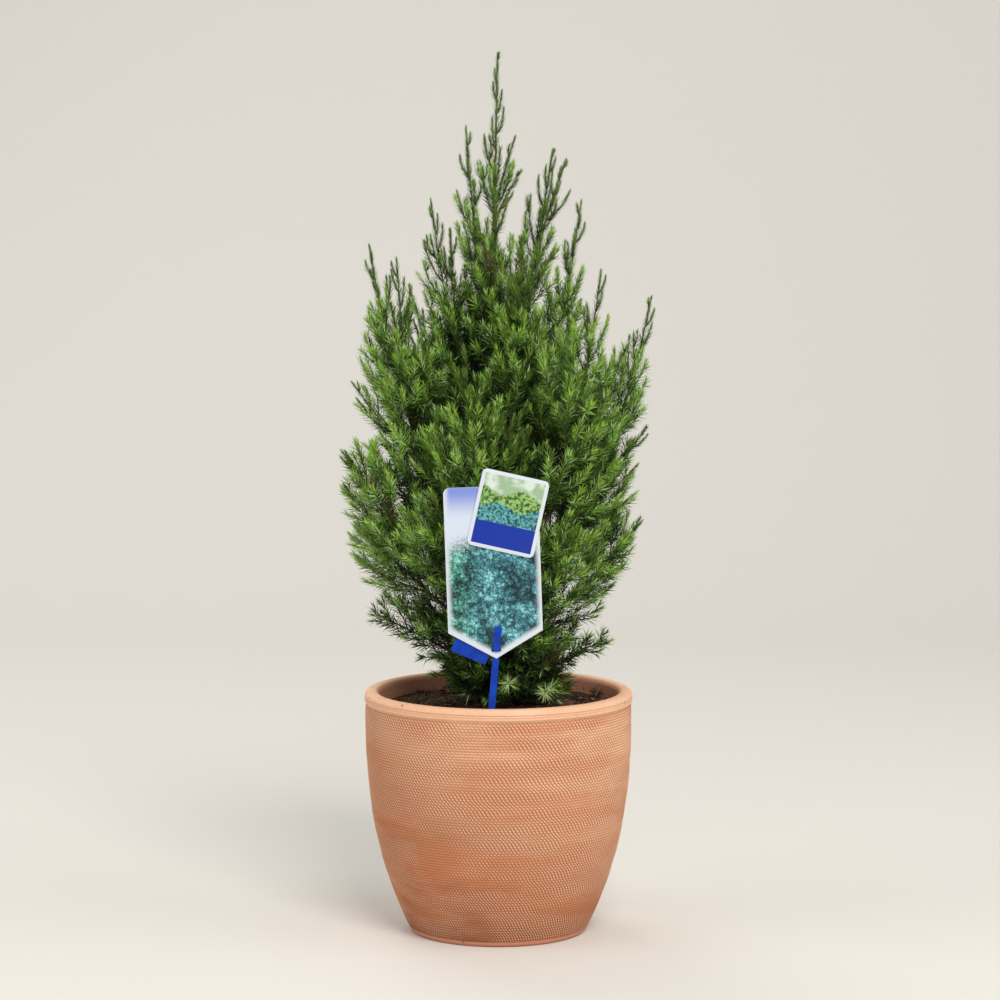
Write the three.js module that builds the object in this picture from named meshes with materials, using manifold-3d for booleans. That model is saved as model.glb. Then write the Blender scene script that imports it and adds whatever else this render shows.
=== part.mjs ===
// A young conical juniper in a terracotta pot, with its plant label. Millimetres, +Z up.
// The origin is the middle of the pot's flat underside, and the plant is seen from the front along +Y.
import * as THREE from "three";
import { mergeVertices } from "three/addons/utils/BufferGeometryUtils.js";
import Module from "manifold-3d";

const solids = await Module();
solids.setup();

// The pot: a round tub whose wall draws in towards a flat foot, with a rounded lip.
const POT_HEIGHT = 194;
const LIP_RADIUS = 107.2;
const LIP_HEIGHT = 10;
const LIP_ROUND = 4.5;
const WALL_RADIUS = 106.4;
const FOOT_RADIUS = 70;
const FOOT_ROUND = 4;
const WALL_DRAW = 2.6; // how late the wall curves in towards the foot
const WALL_THICKNESS = 10;
const FLOOR_THICKNESS = 12;
const POT_SIDES = 36;
const DRAIN_COUNT = 3;
const DRAIN_RADIUS = 5.5;
const DRAIN_CIRCLE = 30;

// The soil fills the pot to a little under its lip.
const SOIL_LEVEL = 181;
const SOIL_MOUND = 24; // radius of the flat middle that the trunk stands on
const SOIL_DIP = 2.5; // how far the soil falls from there to the wall

// The trunk, from its flat cut on the soil to its tip inside the crown.
const CLEAR = 0.3; // gap between neighbouring solids
const FINEST_EDGE = 0.02; // shorter edges, left by a join, are closed up
const TRUNK_FOOT = SOIL_LEVEL + CLEAR;
const TRUNK_TIP = 555;
const TRUNK_RADIUS = 6.6;
const TRUNK_TIP_RADIUS = 1.7;
const FLARE = 3.2; // extra radius at the very foot
const FLARE_HEIGHT = 9;
const TRUNK_SWAY = 2.6;
const PLANT_TOP = 697;

// The crown's outline: an upright drum that tapers above its shoulder and draws in below its hip.
const CROWN_RADIUS = 125;
const CROWN_TOP_RADIUS = 16;
const CROWN_SHOULDER = 510;
const CROWN_HIP = 310;
const CROWN_DRAW = 0.42; // for each millimetre down

// Rings of boughs, from the soil up. foot is the height where they leave the trunk, tip and reach are where
// they end and lift how much the tips differ, out and up bend them, bare is the share of the length with no
// foliage, radius is their thickness, and core, sprays and spray are the size of the foliage's dense middle
// and the number and length of its side sprays.
const TIERS = [
  { name: "skirt", count: 6, foot: 188, tip: 248, reach: 94, turn: 14, lift: 20, out: 0.5, up: 0.6,
    bare: 0.2, radius: 2.3, core: 17, sprays: 5, spray: 46 },
  { name: "lower", count: 7, foot: 210, tip: 362, reach: 114, turn: -6, lift: 50, out: 0.55, up: 0.5,
    bare: 0.22, radius: 2.7, core: 24, sprays: 6, spray: 62 },
  { name: "middle", count: 6, foot: 246, tip: 486, reach: 98, turn: 2, lift: 40, out: 0.72, up: 0.34,
    bare: 0.22, radius: 2.5, core: 24, sprays: 6, spray: 62 },
  { name: "upper", count: 4, foot: 328, tip: 562, reach: 56, turn: 20, lift: 20, out: 0.64, up: 0.36,
    bare: 0.22, radius: 2.0, core: 19, sprays: 5, spray: 50 },
  { name: "top", count: 3, foot: 428, tip: 616, reach: 34, turn: 24, lift: 14, out: 0.62, up: 0.38,
    bare: 0.26, radius: 1.6, core: 12, sprays: 5, spray: 42 },
];
// The boughs that stand out of the outline: [tier, place in it, azimuth in degrees, reach, tip height].
const SPIRES = [
  ["skirt", 0, -14, 86, 236],
  ["skirt", 3, 176, 98, 253],
  ["skirt", 4, 246, 62, 240],
  ["skirt", 5, 292, 60, 244],
  ["lower", 0, 2, 114, 328],
  ["lower", 3, 163, 121, 324],
  ["lower", 4, 188, 122, 386],
  ["lower", 5, 238, 98, 355],
  ["lower", 6, 303, 104, 332],
  ["middle", 0, 3, 121, 506],
  ["middle", 3, 178, 102, 547],
  ["middle", 4, 250, 78, 472],
  ["middle", 5, -42, 106, 530],
  ["upper", 0, 12, 67, 582],
  ["upper", 2, 172, 54, 583],
  ["top", 0, 18, 45, 622],
  ["top", 1, 190, 26, 640],
];

// Foliage: a mass is a leafy stem, a smaller dense core round it, and sprays of needles that stand out.
const STEM_SHARE = 0.62; // a mass's stem against its bough's radius
const CORE_SIDES = 5;
const CORE_RINGS = 5;
const CORE_LENGTH = 0.84; // share of the mass's stem that the core covers
const TIP_SPRAY_START = 0.7;
const CORE_MARGIN = 2.2; // kept between a core and its neighbours' space
const SPRAY_WHORLS = 3;
const FIRST_WHORL = 0.4; // shares of a spray's length
const LAST_WHORL = 0.88;
const SPRAY_RADIUS = 2.5;
const SPRAY_LEAN = 0.74; // radians between a side spray and its stem
const SPRAY_RISE = 0.22; // how much they turn up towards the light
const SPRAY_SHORTEST = 20;
const SPRAY_TRIES = 4;
const OUTWARD_WORTH = 0.25; // how far a spray that heads outward is preferred to a longer one
const NEEDLE_LENGTH = 14;
const NEEDLE_LEAN = 0.8; // radians between a needle and its spray
const NEEDLE_MARGIN = 0.9; // kept between a needle and its neighbours' space
const GOLDEN_SHARE = (Math.sqrt(5) - 1) / 2;
const SPRAY_SPREAD = 2.4; // radians to either side of outward that the side sprays reach round the stem

// The label: a strip pushed into the soil holds a card by a slot, with a small card and a tab on it.
const CARD_THICKNESS = 0.9;
const CARD_WIDTH = 73;
const CARD_TOP = 364;
const CARD_SHOULDER = 253;
const CARD_POINT = 232;
const CARD_CORNER = 5;
const CARD_X = -1.5;
const CARD_Y = -92;
const CARD_TURN = -0.035;
const CARD_ROOM = 6; // that the foliage leaves behind the card and beside it
const SMALL_WIDTH = 52.5;
const SMALL_HEIGHT = 60.5;
const SMALL_CORNER = 4;
const SMALL_CENTRE = [7.5, 345];
const SMALL_TURN = 0.22;
const STRIP_WIDTH = 5.4;
const STRIP_THICKNESS = 1.2;
const STRIP_TOP = 257;
const STRIP_DEPTH = 60; // how far it goes into the soil
const STRIP_TURN = 0.08;
const SLOT_HEIGHT = 3;
const SLOT_LEVEL = 237.5;
const TAB_SIZE = [29, 12];
const TAB_CENTRE = [-21.2, 238];
const TAB_TURN = 0.39;

// A number from 0 to 1 that is always the same for the same seed and place.
function chance(seed, place) {
  const wave = Math.sin(seed * 12.9898 + place * 78.233) * 43758.5453;
  return wave - Math.floor(wave);
}

const radians = (degrees) => (degrees * Math.PI) / 180;

// A closed geometry as a solid.
function solid(geometry) {
  const bare = geometry.index ? geometry.toNonIndexed() : geometry.clone();
  bare.deleteAttribute("normal");
  bare.deleteAttribute("uv");
  const merged = mergeVertices(bare, 1e-4);
  return new solids.Manifold(
    new solids.Mesh({
      numProp: 3,
      vertProperties: merged.attributes.position.array,
      triVerts: new Uint32Array(merged.index.array),
    }),
  );
}

// A solid as a geometry, for its mesh. A loose scrap is left behind.
function geometryOf(shape) {
  const pieces = shape.decompose();
  const largest = pieces.reduce((a, b) => (a.volume() > b.volume() ? a : b));
  const mesh = largest.simplify(FINEST_EDGE).getMesh();
  const geometry = new THREE.BufferGeometry();
  geometry.setAttribute("position", new THREE.BufferAttribute(mesh.vertProperties, 3));
  geometry.setIndex(new THREE.BufferAttribute(mesh.triVerts, 1));
  geometry.computeVertexNormals();
  return geometry;
}

// A round limb along a path. frameAt gives the middle and two directions across it at a share of the
// length, and radiusAt its radius there.
function limb(frameAt, radiusAt, sides, rings) {
  const geometry = new THREE.CylinderGeometry(1, 1, 1, sides, rings);
  const position = geometry.attributes.position;
  const point = new THREE.Vector3();
  for (let i = 0; i < position.count; i++) {
    point.fromBufferAttribute(position, i);
    const share = point.y + 0.5;
    const { middle, across, over } = frameAt(share);
    const radius = radiusAt(share);
    middle.addScaledVector(across, point.z * radius).addScaledVector(over, point.x * radius);
    position.setXYZ(i, middle.x, middle.y, middle.z);
  }
  return geometry;
}

// Two directions across a heading, the first of them level.
function directionsAcross(heading) {
  const level = Math.abs(heading.z) > 0.95 ? new THREE.Vector3(1, 0, 0) : new THREE.Vector3(0, 0, 1);
  const across = new THREE.Vector3().crossVectors(level, heading).normalize();
  const over = new THREE.Vector3().crossVectors(heading, across).normalize();
  return { across, over };
}

// The outside of the pot's wall: its radius at a height.
function wallRadius(height) {
  const drop = 1 - height / (POT_HEIGHT - LIP_HEIGHT);
  return WALL_RADIUS - (WALL_RADIUS - FOOT_RADIUS) * Math.max(drop, 0) ** WALL_DRAW;
}

// A quarter round in a lathe profile, from one angle to another about a centre.
function roundCorner(centreRadius, centreHeight, radius, from, to, steps) {
  return Array.from({ length: steps + 1 }, (_, i) => {
    const angle = from + ((to - from) * i) / steps;
    const corner = new THREE.Vector2(centreRadius, centreHeight);
    return corner.add(new THREE.Vector2(Math.cos(angle), Math.sin(angle)).multiplyScalar(radius));
  });
}

// Evenly spaced numbers from one to another, both included.
function evenly(from, to, count) {
  return Array.from({ length: count }, (_, i) => from + ((to - from) * i) / (count - 1));
}

// A lathe profile turned about the upright axis.
function turned(profile, sides) {
  return new THREE.LatheGeometry(profile, sides).rotateX(Math.PI / 2);
}

function makePot() {
  const foot = wallRadius(FOOT_ROUND);
  const lipFoot = POT_HEIGHT - LIP_HEIGHT;
  const inner = LIP_RADIUS - WALL_THICKNESS;
  const wallHeights = evenly(FOOT_ROUND, lipFoot, 7).slice(1);
  const profile = [
    new THREE.Vector2(0, 0),
    ...roundCorner(foot - FOOT_ROUND, FOOT_ROUND, FOOT_ROUND, -Math.PI / 2, 0, 2),
    ...wallHeights.map((height) => new THREE.Vector2(wallRadius(height), height)),
    new THREE.Vector2(LIP_RADIUS, lipFoot + 1),
    ...roundCorner(LIP_RADIUS - LIP_ROUND, POT_HEIGHT - LIP_ROUND, LIP_ROUND, 0, Math.PI / 2, 2),
    ...roundCorner(inner + LIP_ROUND, POT_HEIGHT - LIP_ROUND, LIP_ROUND, Math.PI / 2, Math.PI, 2),
    ...wallHeights.slice(0, -1).reverse().map((height) => new THREE.Vector2(innerRadius(height), height)),
    new THREE.Vector2(innerRadius(FLOOR_THICKNESS), FLOOR_THICKNESS),
    new THREE.Vector2(0, FLOOR_THICKNESS),
  ];
  let pot = solid(turned(profile, POT_SIDES));
  for (let i = 0; i < DRAIN_COUNT; i++) {
    const angle = (2 * Math.PI * i) / DRAIN_COUNT + Math.PI / 6;
    const drain = new THREE.CylinderGeometry(DRAIN_RADIUS, DRAIN_RADIUS, 3 * FLOOR_THICKNESS, 12);
    drain.rotateX(Math.PI / 2).translate(DRAIN_CIRCLE * Math.cos(angle), DRAIN_CIRCLE * Math.sin(angle), 0);
    pot = pot.subtract(solid(drain));
  }
  return geometryOf(pot);
}

// The inside of the pot's wall: its radius at a height.
function innerRadius(height) {
  return Math.min(wallRadius(height), LIP_RADIUS) - WALL_THICKNESS;
}

function makeSoil() {
  const floor = FLOOR_THICKNESS + CLEAR;
  const heights = evenly(floor, SOIL_LEVEL - SOIL_DIP, 3);
  const gap = CLEAR / Math.cos(Math.PI / POT_SIDES) + 0.8; // the wall's facets bow in between the heights
  const profile = [
    new THREE.Vector2(0, floor),
    ...heights.map((height) => new THREE.Vector2(innerRadius(height) - gap, height)),
    new THREE.Vector2(SOIL_MOUND, SOIL_LEVEL),
    new THREE.Vector2(0, SOIL_LEVEL),
  ];
  return turned(profile, POT_SIDES);
}

// The trunk's middle at a height: it sways a little about the pot's axis.
function trunkMiddle(height) {
  const rise = (height - TRUNK_FOOT) / (PLANT_TOP - TRUNK_FOOT);
  return new THREE.Vector3(
    TRUNK_SWAY * Math.sin(5.2 * rise + 0.4) - TRUNK_SWAY * rise,
    TRUNK_SWAY * Math.sin(4.1 * rise + 2.6),
    height,
  );
}

function trunkRadius(height) {
  const rise = (height - TRUNK_FOOT) / (TRUNK_TIP - TRUNK_FOOT);
  const taper = TRUNK_RADIUS + (TRUNK_TIP_RADIUS - TRUNK_RADIUS) * rise ** 0.8;
  return taper + FLARE * Math.exp(-(height - TRUNK_FOOT) / FLARE_HEIGHT);
}

// The trunk's solid, or with more radius and length the space that is kept clear for it.
function trunkSolid(extra) {
  const from = TRUNK_FOOT - 10 * extra;
  const to = TRUNK_TIP + extra;
  const heightAt = (share) => from + (to - from) * share ** 1.5;
  return limb(
    (share) => ({
      middle: trunkMiddle(heightAt(share)),
      across: new THREE.Vector3(1, 0, 0),
      over: new THREE.Vector3(0, 1, 0),
    }),
    (share) => trunkRadius(Math.max(heightAt(share), TRUNK_FOOT)) + extra,
    8,
    14,
  );
}

// Every bough's measures: its tier's, with its own azimuth, reach and tip.
function planBoughs() {
  const boughs = [];
  TIERS.forEach((tier, level) => {
    for (let i = 0; i < tier.count; i++) {
      const seed = 10 * level + i;
      const spire = SPIRES.find(([name, place]) => name === tier.name && place === i);
      const azimuth = spire ? spire[2] : tier.turn + (360 * i) / tier.count + 10 * (chance(seed, 1) - 0.5);
      const reach = spire ? spire[3] : tier.reach * (1 + 0.08 * (chance(seed, 2) - 0.5));
      const tip = spire ? spire[4] : tier.tip + tier.lift * (chance(seed, 3) - 0.5);
      const foot = tier.foot + (i % 2 ? 11 : 0) + 4 * chance(seed, 4);
      const name = tier.name + "_" + (i + 1);
      boughs.push({ ...tier, name, seed, azimuth: radians(azimuth), reach, tip, foot });
    }
  });
  return boughs;
}

// A bough's middle line: one curve from the trunk's middle to its tip, in an upright plane.
function boughCurve(bough) {
  const start = trunkMiddle(bough.foot);
  const outward = new THREE.Vector3(Math.cos(bough.azimuth), Math.sin(bough.azimuth), 0);
  const rise = bough.tip - bough.foot;
  const bend = start.clone().addScaledVector(outward, bough.out * bough.reach);
  bend.z = bough.foot + bough.up * rise;
  const end = outward.clone().multiplyScalar(bough.reach).setZ(bough.tip);
  return new THREE.QuadraticBezierCurve3(start, bend, end);
}

// The widest that the crown may be at a height.
function crownRadius(height) {
  const above = Math.max(height - CROWN_SHOULDER, 0) / (PLANT_TOP - CROWN_SHOULDER);
  const below = Math.max(CROWN_HIP - height, 0);
  return CROWN_RADIUS - (CROWN_RADIUS - CROWN_TOP_RADIUS) * above - CROWN_DRAW * below;
}

// The crown's top: a stem that carries on from the trunk's tip.
function leaderCurve() {
  const points = [TRUNK_TIP, (TRUNK_TIP + PLANT_TOP) / 2, PLANT_TOP].map(trunkMiddle);
  return new THREE.QuadraticBezierCurve3(...points);
}

// The middle and directions across a stretch of a curve, at a share of that stretch.
function stretch(curve, from, to) {
  return (share) => {
    const at = from + (to - from) * share;
    return { middle: curve.getPoint(at), ...directionsAcross(curve.getTangent(at)) };
  };
}

// What a mass may fill: the points that are nearer to its own stem than to any other, clear of the limbs.
class Space {
  constructor(masses, limbs) {
    this.masses = masses;
    this.limbs = limbs;
    this.own = new THREE.Line3();
    this.foot = new THREE.Vector3();
  }
  distance(point, line) {
    let least = Infinity;
    for (let i = 1; i < line.length; i++) {
      this.own.set(line[i - 1], line[i]).closestPointToPoint(point, true, this.foot);
      least = Math.min(least, this.foot.distanceTo(point));
    }
    return least;
  }
  allows(point, mass, margin) {
    const near = this.distance(point, mass.line);
    const apart = (other) => other === mass || this.distance(point, other.line) > near + 2 * margin;
    const outside = (bough) => this.distance(point, bough.line) > bough.thickness + margin;
    const aboveSoil = point.z > SOIL_LEVEL + 2 * margin + 2;
    const insideCrown = Math.hypot(point.x, point.y) < crownRadius(point.z);
    const besideLabel = Math.abs(point.x - CARD_X) > CARD_WIDTH / 2 + CARD_ROOM || point.z > CARD_TOP + 20;
    const behindLabel = besideLabel || point.y > CARD_Y + CARD_ROOM;
    if (!aboveSoil || !insideCrown || !behindLabel) return false;
    return this.masses.every(apart) && this.limbs.every(outside);
  }
}

// A spray of needles as one closed shape: a three-sided core whose faces are drawn out into needles,
// a whorl of three at each step. A needle that the space refuses stays a flat face.
function sprayGeometry(start, heading, length, girth, allowed) {
  const { across, over } = directionsAcross(heading);
  const rings = [];
  for (let k = 0; k <= SPRAY_WHORLS + 1; k++) {
    const share = k === 0 ? 0 : FIRST_WHORL + ((LAST_WHORL - FIRST_WHORL) * (k - 1)) / SPRAY_WHORLS;
    const radius = girth * (1 - 0.5 * share);
    const twist = 0.55 * k;
    const middle = start.clone().addScaledVector(heading, share * length);
    rings.push([0, 1, 2].map((side) => {
      const angle = twist + (2 * Math.PI * side) / 3;
      const corner = middle.clone().addScaledVector(across, radius * Math.cos(angle));
      return corner.addScaledVector(over, radius * Math.sin(angle));
    }));
  }
  const faces = [[rings[0][2], rings[0][1], rings[0][0]]];
  for (let k = 0; k <= SPRAY_WHORLS; k++) {
    for (let side = 0; side < 3; side++) {
      const next = (side + 1) % 3;
      const corners = [rings[k][side], rings[k][next], rings[k + 1][next], rings[k + 1][side]];
      const middle = new THREE.Vector3();
      for (const corner of corners) middle.addScaledVector(corner, 1 / 4);
      const axis = start.clone().addScaledVector(heading, middle.clone().sub(start).dot(heading));
      const outward = middle.clone().sub(axis).normalize();
      const reach = NEEDLE_LENGTH * (1.05 - 0.09 * k);
      const point = middle.clone().addScaledVector(heading, reach * Math.cos(NEEDLE_LEAN));
      point.addScaledVector(outward, reach * Math.sin(NEEDLE_LEAN));
      if (k > 0 && allowed(point)) {
        corners.forEach((corner, i) => faces.push([corner, corners[(i + 1) % 4], point]));
      } else {
        faces.push([corners[0], corners[1], corners[2]], [corners[0], corners[2], corners[3]]);
      }
    }
  }
  const last = rings[SPRAY_WHORLS + 1];
  const tip = start.clone().addScaledVector(heading, length);
  for (let side = 0; side < 3; side++) faces.push([last[side], last[(side + 1) % 3], tip]);
  return new THREE.BufferGeometry().setFromPoints(faces.flat());
}

// One side spray that a mass could have: where it starts, which way it heads and its length if it has room.
function planSpray(mass, place, attempt) {
  const key = 10 * place + attempt;
  const along = 0.06 + (0.8 * (place + 0.4 * chance(mass.seed, 20 + key))) / mass.sprays;
  const heading = mass.curve.getTangent(mass.from + (1 - mass.from) * along);
  const outward = new THREE.Vector3(Math.cos(mass.azimuth), Math.sin(mass.azimuth), 0);
  outward.addScaledVector(heading, -outward.dot(heading)).normalize();
  const around = new THREE.Vector3().crossVectors(heading, outward);
  const round = (GOLDEN_SHARE * (place + 1) + attempt / SPRAY_TRIES + chance(mass.seed, 40)) % 1;
  const turn = SPRAY_SPREAD * (2 * round - 1);
  const sideways = outward.multiplyScalar(Math.cos(turn)).addScaledVector(around, Math.sin(turn));
  const lean = SPRAY_LEAN * (1 + 0.3 * (chance(mass.seed, 200 + key) - 0.5));
  const way = heading.multiplyScalar(Math.cos(lean)).addScaledVector(sideways, Math.sin(lean));
  way.z += SPRAY_RISE;
  const longest = mass.spray * (1.12 - 0.5 * along) * (0.9 + 0.2 * chance(mass.seed, 400 + key));
  return { start: mass.frameAt(along).middle, way: way.normalize(), longest, turn };
}

// The side sprays of a mass, dealt out round its stem by the golden ratio. Of a few tries at each place the
// one with the most room, or that heads outward, is kept, and none where there is too little.
function planSprays(mass, space) {
  const kept = [];
  for (let place = 0; place < mass.sprays; place++) {
    const tries = Array.from({ length: SPRAY_TRIES }, (_, attempt) => planSpray(mass, place, attempt));
    for (const spray of tries) spray.length = fitLength(spray, mass, space);
    const worth = (spray) => spray.length * (1 + OUTWARD_WORTH * Math.cos(spray.turn));
    const best = tries.reduce((a, b) => (worth(a) >= worth(b) ? a : b));
    if (best.length >= SPRAY_SHORTEST) kept.push(best);
  }
  return kept;
}

// The longest that a spray can be with its middle line inside its mass's space.
function fitLength(spray, mass, space) {
  const step = 3;
  let length = SPRAY_SHORTEST / 2;
  while (length < spray.longest) {
    const ahead = spray.start.clone().addScaledVector(spray.way, length + step);
    if (!space.allows(ahead, mass, NEEDLE_MARGIN + SPRAY_RADIUS)) break;
    length += step;
  }
  return length;
}

// The stem with its dense core: it starts at the stem's own radius, swells into a spindle, and is drawn in
// wherever it would leave the mass's space.
function coreGeometry(mass, space) {
  const geometry = new THREE.CylinderGeometry(1, 1, 1, CORE_SIDES, CORE_RINGS);
  const position = geometry.attributes.position;
  const point = new THREE.Vector3();
  for (let i = 0; i < position.count; i++) {
    point.fromBufferAttribute(position, i);
    const share = point.y + 0.5;
    const { middle, across, over } = mass.frameAt(CORE_LENGTH * share);
    const way = across.multiplyScalar(point.z).addScaledVector(over, point.x);
    const full = mass.core * Math.sin(Math.PI * share) ** 0.7;
    const step = 1;
    const surface = middle.clone().addScaledVector(way, mass.thickness * (1 - 0.5 * share));
    for (let radius = 0; radius < full * way.length(); radius += step) {
      const ahead = surface.clone().addScaledVector(way, step);
      if (!space.allows(ahead, mass, CORE_MARGIN)) break;
      surface.copy(ahead);
    }
    position.setXYZ(i, surface.x, surface.y, surface.z);
  }
  return geometry;
}

function makeMass(mass, space) {
  const pieces = [solid(coreGeometry(mass, space))];
  const allowed = (point) => space.allows(point, mass, NEEDLE_MARGIN);
  for (const { start, way, length } of planSprays(mass, space)) {
    pieces.push(solid(sprayGeometry(start, way, length, SPRAY_RADIUS, allowed)));
  }
  const { middle } = mass.frameAt(TIP_SPRAY_START);
  const end = mass.frameAt(1).middle;
  const heading = end.clone().sub(middle);
  const length = heading.length();
  pieces.push(solid(sprayGeometry(middle, heading.normalize(), length, 0.9 * SPRAY_RADIUS, allowed)));
  return geometryOf(solids.Manifold.union(pieces));
}

// A flat outline as a thin plate that faces the front, its face at y.
function plate(shape, thickness, y) {
  const options = { depth: thickness, bevelEnabled: false, curveSegments: 3 };
  const geometry = new THREE.ExtrudeGeometry(shape, options);
  return geometry.rotateX(Math.PI / 2).translate(0, y + thickness, 0);
}

// A rectangle with round corners about the origin.
function roundedRectangle(width, height, corner) {
  const shape = new THREE.Shape();
  const x = width / 2 - corner;
  const z = height / 2 - corner;
  shape.absarc(x, z, corner, 0, Math.PI / 2);
  shape.absarc(-x, z, corner, Math.PI / 2, Math.PI);
  shape.absarc(-x, -z, corner, Math.PI, 1.5 * Math.PI);
  shape.absarc(x, -z, corner, 1.5 * Math.PI, 2 * Math.PI);
  return shape;
}

// The large card: round shoulders at the top, a blunt point at the bottom and a slot for the strip.
function makeCard() {
  const half = CARD_WIDTH / 2;
  const shape = new THREE.Shape();
  shape.moveTo(0, CARD_POINT);
  shape.lineTo(half, CARD_SHOULDER);
  shape.absarc(half - CARD_CORNER, CARD_TOP - CARD_CORNER, CARD_CORNER, 0, Math.PI / 2);
  shape.absarc(-half + CARD_CORNER, CARD_TOP - CARD_CORNER, CARD_CORNER, Math.PI / 2, Math.PI);
  shape.lineTo(-half, CARD_SHOULDER);
  const slot = new THREE.Path();
  const slotHalf = STRIP_WIDTH / 2 + 1;
  slot.moveTo(-slotHalf, SLOT_LEVEL);
  slot.lineTo(slotHalf, SLOT_LEVEL);
  slot.lineTo(slotHalf, SLOT_LEVEL + SLOT_HEIGHT);
  slot.lineTo(-slotHalf, SLOT_LEVEL + SLOT_HEIGHT);
  shape.holes.push(slot);
  const card = plate(shape, CARD_THICKNESS, CARD_Y);
  return card.translate(0, 0, -CARD_POINT).rotateY(CARD_TURN).translate(CARD_X, 0, CARD_POINT);
}

function makeSmallCard() {
  const geometry = plate(roundedRectangle(SMALL_WIDTH, SMALL_HEIGHT, SMALL_CORNER), CARD_THICKNESS, 0);
  geometry.rotateY(SMALL_TURN);
  return geometry.translate(SMALL_CENTRE[0], CARD_Y - CARD_THICKNESS - CLEAR, SMALL_CENTRE[1]);
}

function makeTab() {
  const geometry = plate(roundedRectangle(TAB_SIZE[0], TAB_SIZE[1], 1), CARD_THICKNESS, 0);
  geometry.rotateY(TAB_TURN);
  return geometry.translate(TAB_CENTRE[0], CARD_Y + CARD_THICKNESS + CLEAR, TAB_CENTRE[1]);
}

// The strip rises out of the soil behind the card, passes through its slot and ends in front of it.
function makeStrip() {
  const behind = CARD_Y + CARD_THICKNESS + CLEAR;
  const front = CARD_Y - CLEAR - STRIP_THICKNESS;
  const slot = SLOT_LEVEL + SLOT_HEIGHT / 2;
  const near = (STRIP_THICKNESS + SLOT_HEIGHT) / 4;
  const shape = new THREE.Shape();
  shape.moveTo(behind, SOIL_LEVEL - STRIP_DEPTH);
  shape.lineTo(behind + STRIP_THICKNESS, SOIL_LEVEL - STRIP_DEPTH);
  shape.lineTo(behind + STRIP_THICKNESS, slot + near);
  shape.lineTo(front + STRIP_THICKNESS, slot + near);
  shape.lineTo(front + STRIP_THICKNESS, STRIP_TOP);
  shape.lineTo(front, STRIP_TOP);
  shape.lineTo(front, slot - near);
  shape.lineTo(behind, slot - near);
  const geometry = new THREE.ExtrudeGeometry(shape, { depth: STRIP_WIDTH, bevelEnabled: false });
  geometry.applyMatrix4(new THREE.Matrix4().set(0, 0, 1, 0, 1, 0, 0, 0, 0, 1, 0, 0, 0, 0, 0, 1));
  return leaning(geometry.translate(-STRIP_WIDTH / 2, 0, 0));
}

// The strip leans a little to the right: it is turned about the slot.
function leaning(geometry) {
  const pivot = SLOT_LEVEL + SLOT_HEIGHT / 2;
  return geometry.translate(0, 0, -pivot).rotateY(STRIP_TURN).translate(CARD_X, 0, pivot);
}

// Finishes: colour, roughness.
const clay = new THREE.MeshStandardMaterial({ color: 0xc98a62, roughness: 0.85, metalness: 0 });
const earth = new THREE.MeshStandardMaterial({ color: 0x2e211a, roughness: 1, metalness: 0 });
const bark = new THREE.MeshStandardMaterial({ color: 0x6a4a35, roughness: 0.9, metalness: 0 });
const foliage = new THREE.MeshStandardMaterial({ color: 0x3c6b2c, roughness: 0.6, metalness: 0 });
const printed = new THREE.MeshStandardMaterial({ color: 0xe4ebee, roughness: 0.35, metalness: 0 });
const blue = new THREE.MeshStandardMaterial({ color: 0x1f3fae, roughness: 0.35, metalness: 0 });

const plant = new THREE.Group();
function add(name, geometry, material) {
  const mesh = new THREE.Mesh(geometry, material);
  mesh.name = name;
  plant.add(mesh);
}

const boughs = planBoughs().map((bough) => {
  const curve = boughCurve(bough);
  const end = bough.bare;
  const line = evenly(0, end, 7).map((at) => curve.getPoint(at));
  return { ...bough, curve, line, thickness: bough.radius };
});
const trunkLine = evenly(TRUNK_FOOT, TRUNK_TIP, 12).map(trunkMiddle);
const trunkGuard = { line: trunkLine, thickness: TRUNK_RADIUS };

// A mass for every bough, on the rest of its curve, and one on top of the trunk.
function planMass(curve, from, measures) {
  const frameAt = stretch(curve, from, 1);
  const line = evenly(0, 1, 11).map((share) => frameAt(share).middle);
  return { ...measures, curve, from, frameAt, line };
}
const masses = boughs.map((bough) => {
  const from = bough.bare + CLEAR / bough.curve.getLength();
  return planMass(bough.curve, from, { ...bough, thickness: STEM_SHARE * bough.radius });
});
const leader = { name: "leader", seed: 91, azimuth: 0, sprays: 6, spray: 40, core: 9, thickness: 1.2 };
const leaderPath = leaderCurve();
masses.push(planMass(leaderPath, CLEAR / leaderPath.getLength(), leader));

const trunkSpace = solid(trunkSolid(CLEAR));
add("pot", makePot(), clay);
add("soil", geometryOf(solid(makeSoil()).subtract(stripSpace())), earth);
add("trunk", trunkSolid(0), bark);
for (const bough of boughs) {
  const radiusAt = (share) => bough.radius * (1 - 0.34 * share);
  const whole = solid(limb(stretch(bough.curve, 0, bough.bare), radiusAt, 5, 3));
  add("bough_" + bough.name, geometryOf(whole.subtract(trunkSpace)), bark);
}
const space = new Space(masses, [...boughs, trunkGuard]);
for (const mass of masses) add("foliage_" + mass.name, makeMass(mass, space), foliage);
add("label_strip", makeStrip(), blue);
add("label_card", makeCard(), printed);
add("label_small_card", makeSmallCard(), printed);
add("label_tab", makeTab(), blue);

// The hole that the strip makes in the soil.
function stripSpace() {
  const width = STRIP_WIDTH + 2 * CLEAR;
  const depth = STRIP_THICKNESS + 2 * CLEAR;
  const hole = new THREE.BoxGeometry(width, depth, 2 * (STRIP_DEPTH + CLEAR));
  const middle = CARD_Y + CARD_THICKNESS + CLEAR + STRIP_THICKNESS / 2;
  return solid(leaning(hole.translate(0, middle, SOIL_LEVEL)));
}

export default plant;
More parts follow.
